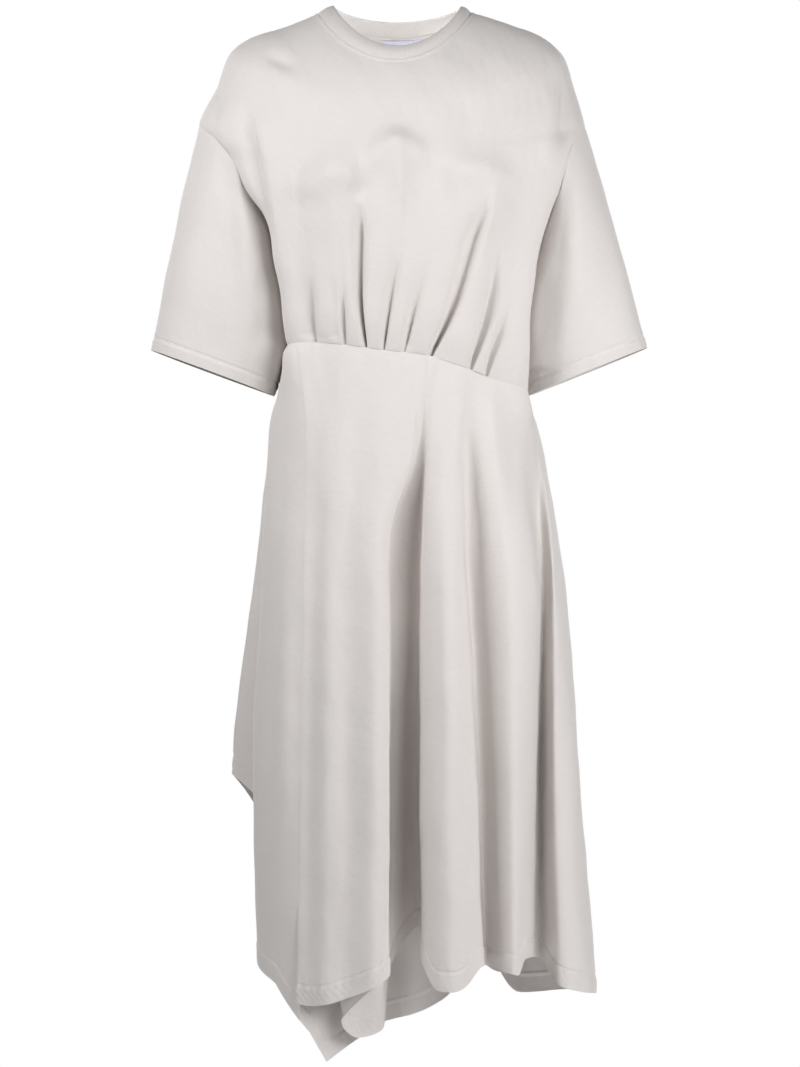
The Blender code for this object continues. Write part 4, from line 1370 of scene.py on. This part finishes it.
@dataclass
class Sleeves:
    """Two short sleeves, set into the dropped armholes."""
    form: BodiceForm
    half_round: int = 56
    rows: int = 84
    hem_rows: int = 28
    hem: float = 13.5
    fullness: float = 5.0
    sway_late: float = 1.45
    cut: Cut = Cut(0.46, 0.28, 0.103)

    def grid(self, side: int, cuff: Cuff) -> Array:
        """Outer points of one sleeve, round from the armhole's tip and down to the cuff."""
        turn = np.linspace(0, 2 * math.pi, 2 * self.half_round, endpoint=False)
        sine, cosine = np.sin(turn), np.cos(turn)
        angle = side * (90 - self.form.armhole_front * np.maximum(sine, 0)
                        + self.form.armhole_back * np.maximum(-sine, 0))
        root = self.form.point(angle, TIP + (1 - cosine) / 2)
        power = 2 / cuff.square
        outer, inner = np.array(cuff.outer, float), np.array(cuff.inner, float)
        middle, reach = (outer + inner) / 2, (outer - inner) / 2
        along = signed_power(cosine, power)
        end = np.stack((middle[0] + reach[0] * along,
                        cuff.middle_y - cuff.half_depth * signed_power(sine, power),
                        middle[1] + reach[1] * along), axis=-1)
        out = unit(np.stack((side * cosine, -sine, np.zeros_like(turn)), axis=-1))
        split = 1 - 22.0 / 270.0
        shares = np.concatenate((np.linspace(0, split, self.rows, endpoint=False),
                                 np.linspace(split, 1, self.hem_rows)))
        rows = []
        for share in shares:
            belly = self.fullness * math.sin(math.pi * share) * (0.35 + 0.65 * np.abs(sine))
            swing = np.maximum(-cosine, 0) * cuff.sway * math.sin(math.pi * share ** self.sway_late)
            swung = np.stack((-side * swing, 0 * swing, 0 * swing), axis=-1)
            rows.append(root + (end - root) * share + out * belly[:, None] + swung)
        return np.array(rows)

    def build(self, finish: bpy.types.Material, thread: bpy.types.Material) -> None:
        """Make both sleeves with their hems."""
        for number, (name, (side, cuff)) in enumerate(CUFFS.items()):
            panel = Panel(name + "_cloth", Slot.JERSEY, self.grid(side, cuff), way=-side, closed=True,
                          replaces=(name,))
            inner = ease(panel.from_edge("top") / 25)
            panel.press((lifted(panel.points, SLEEVE_CREASES) + slack(panel.points, 11 + number)) * inner)
            panel.sew("top")
            press_hem(panel, self.hem)
            made = panel.build(finish)
            lines = [closed_line(panel.line_from("hem", self.hem + step)) for step in (0, 2.4)]
            stitches = Stitching(name.replace("sleeve", "cuff") + "_stitching", Slot.JERSEY)
            stitches.build(lines, thread)


def closed_line(line: tuple[Array, Array]) -> tuple[Array, Array]:
    """A line that runs all round, joined to its start."""
    return tuple(np.concatenate((part, part[:1])) for part in line)


def press_hem(panel: Panel, depth: float, roping: float = 0.22) -> None:
    """Press a turned and twin-stitched hem into a panel.

    Args:
        panel: the cloth, whose last row is the edge.
        depth: width of the turned hem.
        roping: how far the slanting ripples under the stitches rise.
    """
    away = panel.from_edge("hem")
    across = np.broadcast_to(lengths_along(panel.points[-1:], 1), away.shape)
    groove = bell((away - depth) / 1.1) + bell((away - depth - 2.4) / 1.1)
    turned = 1 - ease((away - depth) / 1.5)
    wave = np.sin(2 * math.pi * (across + 0.7 * away) / 8.5 + 1.5 * soft_noise(across, away, 60.0, 5))
    ripple = wave * ease(away / 4) * (1 - ease((away - depth + 5) / 6))
    pucker = soft_noise(across, 0 * away, 13.0, 8) * bell((away - depth) / 9)
    panel.press(0.5 * turned - 0.75 * groove + roping * ripple + 0.5 * pucker)


class BandRing(NamedTuple):
    """One ring of the neck band, from its seam up to its folded edge."""
    right_x: float
    right_z: float
    left_x: float
    left_z: float
    front_y: float
    front_z: float
    back_y: float
    back_z: float


NECK_BAND = (
    BandRing(-94.8, 9.3, 86.8, 10.3, -87.9, -55.7, 76.9, -10.7),
    BandRing(-87, 14, 81.5, 14.5, -83, -47, 72.5, -3),
    BandRing(-78, 18, 76, 17, -75, -39, 66.5, 5),
)


@dataclass
class Neck:
    """Doubled rib band with its cover stitch, and the bare label inside the back."""
    bodice: Bodice
    round: int = 220
    rows: int = 13
    band: float = 2.4
    seam_cover: float = 0.5
    label_x: Pair = (-19.0, 29.0)
    label_sections: Pair = (0.05, 0.22)
    label_depth: float = 2.3
    band_cut: Cut = Cut(0.56, 0.021, 0.0112)
    label_cut: Cut = Cut(0.048, 0.017, 0.0008)

    def ring(self, at: float, turn: Array) -> Array:
        """Points round the band at one height, 0 at the seam and 2 at the fold."""
        values = {name: float(smooth((0, 1, 2), column(NECK_BAND, name), np.float64(at)))
                  for name in BandRing._fields}
        row = BandRing(**values)
        sine, cosine = np.sin(turn), np.cos(turn)
        middle, half = (row.left_x + row.right_x) / 2, (row.left_x - row.right_x) / 2
        depth = np.where(cosine > 0, SIDE_Y - row.front_y, row.back_y - SIDE_Y)
        side = row.right_z * (1 - sine) / 2 + row.left_z * (1 + sine) / 2
        middle_z = np.where(cosine > 0, row.front_z, row.back_z)
        z = side + (middle_z - side) * np.abs(cosine) ** DROP_SHAPE
        return np.stack((middle + half * sine, SIDE_Y - depth * cosine, z), axis=-1)

    def build_band(self, finish: bpy.types.Material) -> bpy.types.Object:
        """Make the band: up the outside, over the fold and down the inside."""
        turn = np.linspace(-math.pi, math.pi, self.round, endpoint=False)
        heights = np.linspace(0, 2, self.rows)
        outside = np.array([self.ring(at, turn) for at in heights[::-1]])
        shape = Panel("band", Slot.RIB, outside, closed=True)
        facing = shape.facing()[::-1]
        outside = outside[::-1]
        swell = 0.7 * np.sin(math.pi * heights / 2) ** 0.6
        outside[0] += unit(outside[0] - outside[1]) * self.seam_cover
        outside = outside + facing * swell[:, None, None]
        loop = [outside[k] for k in range(self.rows - 1)]
        top, over = outside[-1], facing[-1]
        rise = unit(outside[-1] - outside[-2])
        for share in np.linspace(0, 1, 7):
            lean = math.sin(math.pi * share) * self.band * 0.42
            loop.append(top - over * self.band * share + rise * lean)
        for k in range(self.rows - 2, -1, -1):
            loop.append(outside[k] - facing[k] * self.band)
        loop.append(loop[0])
        grid = np.array(loop)[:-1]
        rows, columns = grid.shape[:2]
        place = np.arange(rows * columns).reshape(rows, columns)
        right, below = np.roll(place, -1, axis=1), np.roll(place, -1, axis=0)
        quads = np.stack((place, right, np.roll(right, -1, axis=0), below), axis=-1).reshape(-1, 4)
        along = lengths_along(np.concatenate((outside, outside[:, :1]), axis=1), 1)[0] * MILLIMETRE
        height = lengths_along(np.array(loop), 0)[:, 0] * MILLIMETRE
        row, column_number = np.divmod(np.arange(rows * columns), columns)
        corner_rows = np.stack((row, row, row + 1, row + 1), axis=-1)
        corner_columns = np.stack((column_number, column_number + 1, column_number + 1, column_number), axis=-1)
        uv = np.stack((along[corner_columns], height[corner_rows]), axis=-1)
        made = cloth_object("neck_band", grid.reshape(-1, 3) * MILLIMETRE, quads, uv, finish)
        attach(made, BODY)
        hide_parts("collar")
        return made

    def build_label(self, finish: bpy.types.Material) -> bpy.types.Object:
        """Make the label, sewn at its top edge and hanging clear of the back."""
        form = self.bodice.form
        x, at = np.meshgrid(np.linspace(*reversed(self.label_x), 26), np.linspace(*self.label_sections, 14))
        middle, half = form.ring_width(at)
        angle = 180 - np.degrees(np.arcsin(signed_power((x - middle) / half, form.read("square", at) / 2)))
        back = Panel("back", Slot.LABEL, form.point(angle, at))
        points = back.points - back.facing() * self.label_depth
        panel = Panel("neck_label_ribbon", Slot.LABEL, points, wall=0.6, replaces=("neck_label",))
        return panel.build(finish)

    def build(self, rib: bpy.types.Material, ribbon: bpy.types.Material, thread: bpy.types.Material) -> None:
        """Make the band, its stitching and the label."""
        band = self.build_band(rib)
        lines = []
        for name in ("bodice_front", "bodice_back"):
            panel = self.bodice.panels[name]
            lines += [panel.line_from("top", distance) for distance in (1.6, 4.0)]
        lines.append(self.bodice.panels["bodice_back"].line_from("top", 4.0, inside=True))
        stitches = Stitching("neck_stitching", Slot.JERSEY, length=2.2, radius=0.36).build(lines, thread)
        label = self.build_label(ribbon)


@dataclass
class Skirt:
    """Front, back and side drape of the skirt, hung from the waist seam."""
    form: SkirtForm
    rows: int = 122
    hem_rows: int = 44
    hem_share: float = 0.962
    hem: float = 21.0
    front_each: int = 13
    back_each: int = 14
    drape_each: int = 20
    corner_each: int = 12
    corner_seam_hem: float = -1187.0
    vent_top: float = -1040.0
    vent_depth: float = 5.0
    front_cut: Cut = Cut(0.66, 0.81, 0.353)
    back_cut: Cut = Cut(0.74, 0.83, 0.43)
    drape_cut: Cut = Cut(0.46, 0.86, 0.196)

    def shares(self) -> Array:
        """How far down each row lies, close together at the hem."""
        upper = np.linspace(0, 1, self.rows, endpoint=False) ** 0.94 * self.hem_share
        return np.concatenate((upper, np.linspace(self.hem_share, 1, self.hem_rows)))

    def places(self, first: int, last: int, each: int) -> tuple[Array, Array]:
        """Places and heights of a panel's grid between two seams."""
        place = np.linspace(first, last, (last - first) * each + 1)
        top, hem = self.form.waist_ring(place)[..., 2], self.form.hem_height(place)
        z = top + (hem - top) * self.shares()[:, None]
        return np.broadcast_to(place, z.shape), z

    def drape_grid(self) -> tuple[Array, Array]:
        """Outer points of the drape, and which faces its long corner leaves out."""
        count = len(SKIRT)
        place, z = self.places(REAR_SEAM, count, self.drape_each)
        drop = np.clip(place - (count - 1), 0, 1) * (self.corner_seam_hem - SKIRT[0].hem_z)
        z = z + drop * self.shares()[:, None]
        points = self.form.point(place, z)
        facing = Panel("drape", Slot.JERSEY, points).facing()
        under = ease((place - (count - 2)) / 2) * ease((self.vent_top - z) / 80)
        points = points - facing * (self.vent_depth * under)[..., None]
        seam = points[:, -1]
        keys = np.array([seam[-1, 0]] + column(LONG_CORNER, "x"))
        x = np.concatenate([np.linspace(a, b, self.corner_each + 1)[1:] for a, b in zip(keys, keys[1:])])
        y = smooth(keys, [seam[-1, 1]] + column(LONG_CORNER, "y"), x)
        hem = np.interp(x, keys, [seam[-1, 2]] + column(LONG_CORNER, "hem_z"))
        start = int(np.argmin(np.abs(seam[:, 2] - (LONG_CORNER[0].top_z + 20))))
        top = np.interp(x, keys, [seam[start, 2]] + column(LONG_CORNER, "top_z"))
        share = (seam[start:, 2] - seam[start, 2]) / (seam[-1, 2] - seam[start, 2])
        extra = np.zeros((z.shape[0], len(x), 3))
        extra[start:, :, 0] = x
        lean = seam[start:, 1] - seam[-1, 1]
        extra[start:, :, 1] = y + lean[:, None] * np.linspace(1, 0.4, len(x))
        extra[start:, :, 2] = top + (hem - top) * share[:, None]
        extra[:start] = seam[:start, None]
        grid = np.concatenate((points, extra), axis=1)
        missing = np.zeros((grid.shape[0] - 1, grid.shape[1] - 1), bool)
        missing[:start, points.shape[1] - 1:] = True
        return grid, missing

    def finish_panel(self, panel: Panel, cloth: bpy.types.Material,
                     thread: bpy.types.Material, seams: Sequence[str]) -> None:
        """Crease, sew, hem and build one panel.

        Args:
            panel: its plain grid.
            cloth: material of the panel.
            thread: material of its stitching.
            seams: edges that are sewn beside the waist.
        """
        inner = ease(panel.from_edge("top") / 12) * ease(panel.from_edge("hem") / 10 + 0.4)
        panel.press((lifted(panel.points, SKIRT_CREASES) + slack(panel.points, 3, 0.6)) * inner)
        panel.sew("top")
        panel.sew(*seams, sink=0.15)
        press_hem(panel, self.hem)
        made = panel.build(cloth)
        lines = [panel.line_from("hem", self.hem + step) for step in (0, 2.4)]
        name = panel.name.replace("_cloth", "_hem_stitching")
        stitches = Stitching(name, Slot.JERSEY).build(lines, thread)

    def build(self, cloth: bpy.types.Material, thread: bpy.types.Material) -> None:
        """Make the three panels."""
        front = Panel("skirt_front_cloth", Slot.JERSEY,
                      self.form.point(*self.places(FRONT_FIRST, FRONT_LAST, self.front_each)),
                      replaces=("skirt_front",))
        self.finish_panel(front, cloth, thread, ("first", "last"))
        back = Panel("skirt_back_cloth", Slot.JERSEY,
                     self.form.point(*self.places(FRONT_LAST, REAR_SEAM, self.back_each)),
                     replaces=("skirt_back",))
        self.finish_panel(back, cloth, thread, ("first", "last"))
        grid, missing = self.drape_grid()
        drape = Panel("skirt_drape_cloth", Slot.JERSEY, grid, missing=missing, replaces=("skirt_drape",))
        self.finish_panel(drape, cloth, thread, ("first",))


# ----------------------------------------------------------------------------------------- studio


class Lamp(NamedTuple):
    """Soft light of the studio: its place, size and the height it aims at in metres, its power in
    watts and its spread in degrees."""
    name: str
    x: float
    y: float
    z: float
    size: float
    power: float
    aim_z: float = -0.45
    spread: float = 180.0


LAMPS = (
    Lamp("left_key", -1.0, -1.4, 0.4, 0.9, 3),
    Lamp("left_side", -1.35, -0.95, 0.3, 0.9, 12.2, -0.2, 130),
    Lamp("right_low", 1.0, -1.4, -0.3, 0.9, 20),
    Lamp("right_middle", 1.4, -0.8, -0.4, 0.9, 4.5),
    Lamp("right_side", 2.1, -1.3, 0.3, 0.9, 3.7),
    Lamp("rear_left", 0.9, 2.6, 0.5, 1.2, 50),
    Lamp("rear_right", -1.3, 2.4, 0.4, 1.2, 34),
)


@dataclass(frozen=True)
class Studio:
    """Camera, lights and floor."""
    camera_place: tuple[float, float, float] = (0.0024, -5.0, -0.616)
    picture_height: float = 1.2804
    sensor: float = 36.0
    neck_light: tuple[float, float, float] = (-0.004, -0.04, -0.085)
    neck_aim: tuple[float, float, float] = (-0.004, 0.075, -0.01)
    neck_size: float = 0.08
    neck_power: float = 0.14
    floor_z: float = -1.46
    floor_radius: float = 1.0
    surround: float = 0.06
    backdrop: float = 1.0
    shade_colour: Colour = (1.0, 0.93, 0.87)
    light_colour: Colour = (0.975, 0.988, 1.0)

    def add_camera(self) -> None:
        """Level camera in front of the dress."""
        data = bpy.data.cameras.new("camera")
        data.sensor_width = self.sensor
        data.lens = self.sensor * -self.camera_place[1] / self.picture_height
        data.clip_end = 100
        camera = bpy.data.objects.new("camera", data)
        camera.location = self.camera_place
        camera.rotation_euler = (math.radians(90), 0, 0)
        bpy.context.scene.collection.objects.link(camera)
        bpy.context.scene.camera = camera

    def add_light(self, lamp: Lamp) -> None:
        """Square soft light aimed at the middle of the dress."""
        data = bpy.data.lights.new(lamp.name, "AREA")
        data.size, data.energy, data.color = lamp.size, lamp.power, self.light_colour
        data.spread = math.radians(lamp.spread)
        light = bpy.data.objects.new(lamp.name, data)
        light.location = (lamp.x, lamp.y, lamp.z)
        aim = np.array((0, 0, lamp.aim_z)) - np.array((lamp.x, lamp.y, lamp.z))
        light.rotation_euler = (math.acos(-aim[2] / np.linalg.norm(aim)), 0,
                                math.atan2(aim[1], aim[0]) - math.pi / 2)
        bpy.context.scene.collection.objects.link(light)

    def add_neck_light(self) -> None:
        """Small soft light inside the chest that brightens the inside of the back neck."""
        data = bpy.data.lights.new("neck_light", "AREA")
        data.size, data.energy, data.color = self.neck_size, self.neck_power, self.light_colour
        light = bpy.data.objects.new("neck_light", data)
        light.location = self.neck_light
        light.visible_camera = False
        aim = np.array(self.neck_aim) - np.array(self.neck_light)
        light.rotation_euler = (math.acos(-aim[2] / np.linalg.norm(aim)), 0, 0)
        bpy.context.scene.collection.objects.link(light)

    def add_floor(self) -> None:
        """Wide pale floor, under the hem."""
        turn = np.linspace(0, 2 * math.pi, 64, endpoint=False)
        ring = np.stack((np.cos(turn), np.sin(turn), 0 * turn), axis=-1) * self.floor_radius
        data = bpy.data.meshes.new("floor")
        data.from_pydata([tuple(p) for p in ring], [], [tuple(range(len(ring)))])
        data.materials.append(FloorFinish().make())
        floor = bpy.data.objects.new("floor", data)
        floor.location = (0, 0, self.floor_z)
        bpy.context.scene.collection.objects.link(floor)

    def add_world(self) -> None:
        """Even surround that the camera sees as white."""
        world = bpy.data.worlds.new("surround")
        bpy.context.scene.world = world
        world.use_nodes = True
        nodes, links = world.node_tree.nodes, world.node_tree.links
        seen = nodes.new("ShaderNodeLightPath")
        level = nodes.new("ShaderNodeMix")
        level.data_type = "RGBA"
        level.inputs[6].default_value = (*(self.surround * c for c in self.shade_colour), 1)
        level.inputs[7].default_value = (self.backdrop, self.backdrop, self.backdrop, 1)
        links.new(seen.outputs["Is Camera Ray"], level.inputs["Factor"])
        links.new(level.outputs[2], nodes["Background"].inputs["Color"])

    def build(self) -> None:
        """Make the studio."""
        self.add_camera()
        self.add_world()
        self.add_floor()
        for lamp in LAMPS:
            self.add_light(lamp)
        self.add_neck_light()
        log.info("studio: camera, floor and lights")


def corners(box: tuple) -> list[list[float]]:
    """A box as plain lists of numbers."""
    return [list(corner) for corner in box]


def main() -> None:
    """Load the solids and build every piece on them."""
    logging.basicConfig(level=logging.INFO, format="%(message)s")
    bpy.context.scene.view_settings.view_transform = "Standard"
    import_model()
    Studio().build()
    jersey, thread = JerseyFinish().make(), ThreadFinish().make()
    form = BodiceForm()
    bodice = Bodice(form)
    bodice.build(jersey)
    Sleeves(form).build(jersey, thread)
    Neck(bodice).build(RibFinish().make(), LabelFinish().make(), thread)
    Skirt(SkirtForm(form)).build(jersey, thread)


if __name__ == "__main__":
    main()
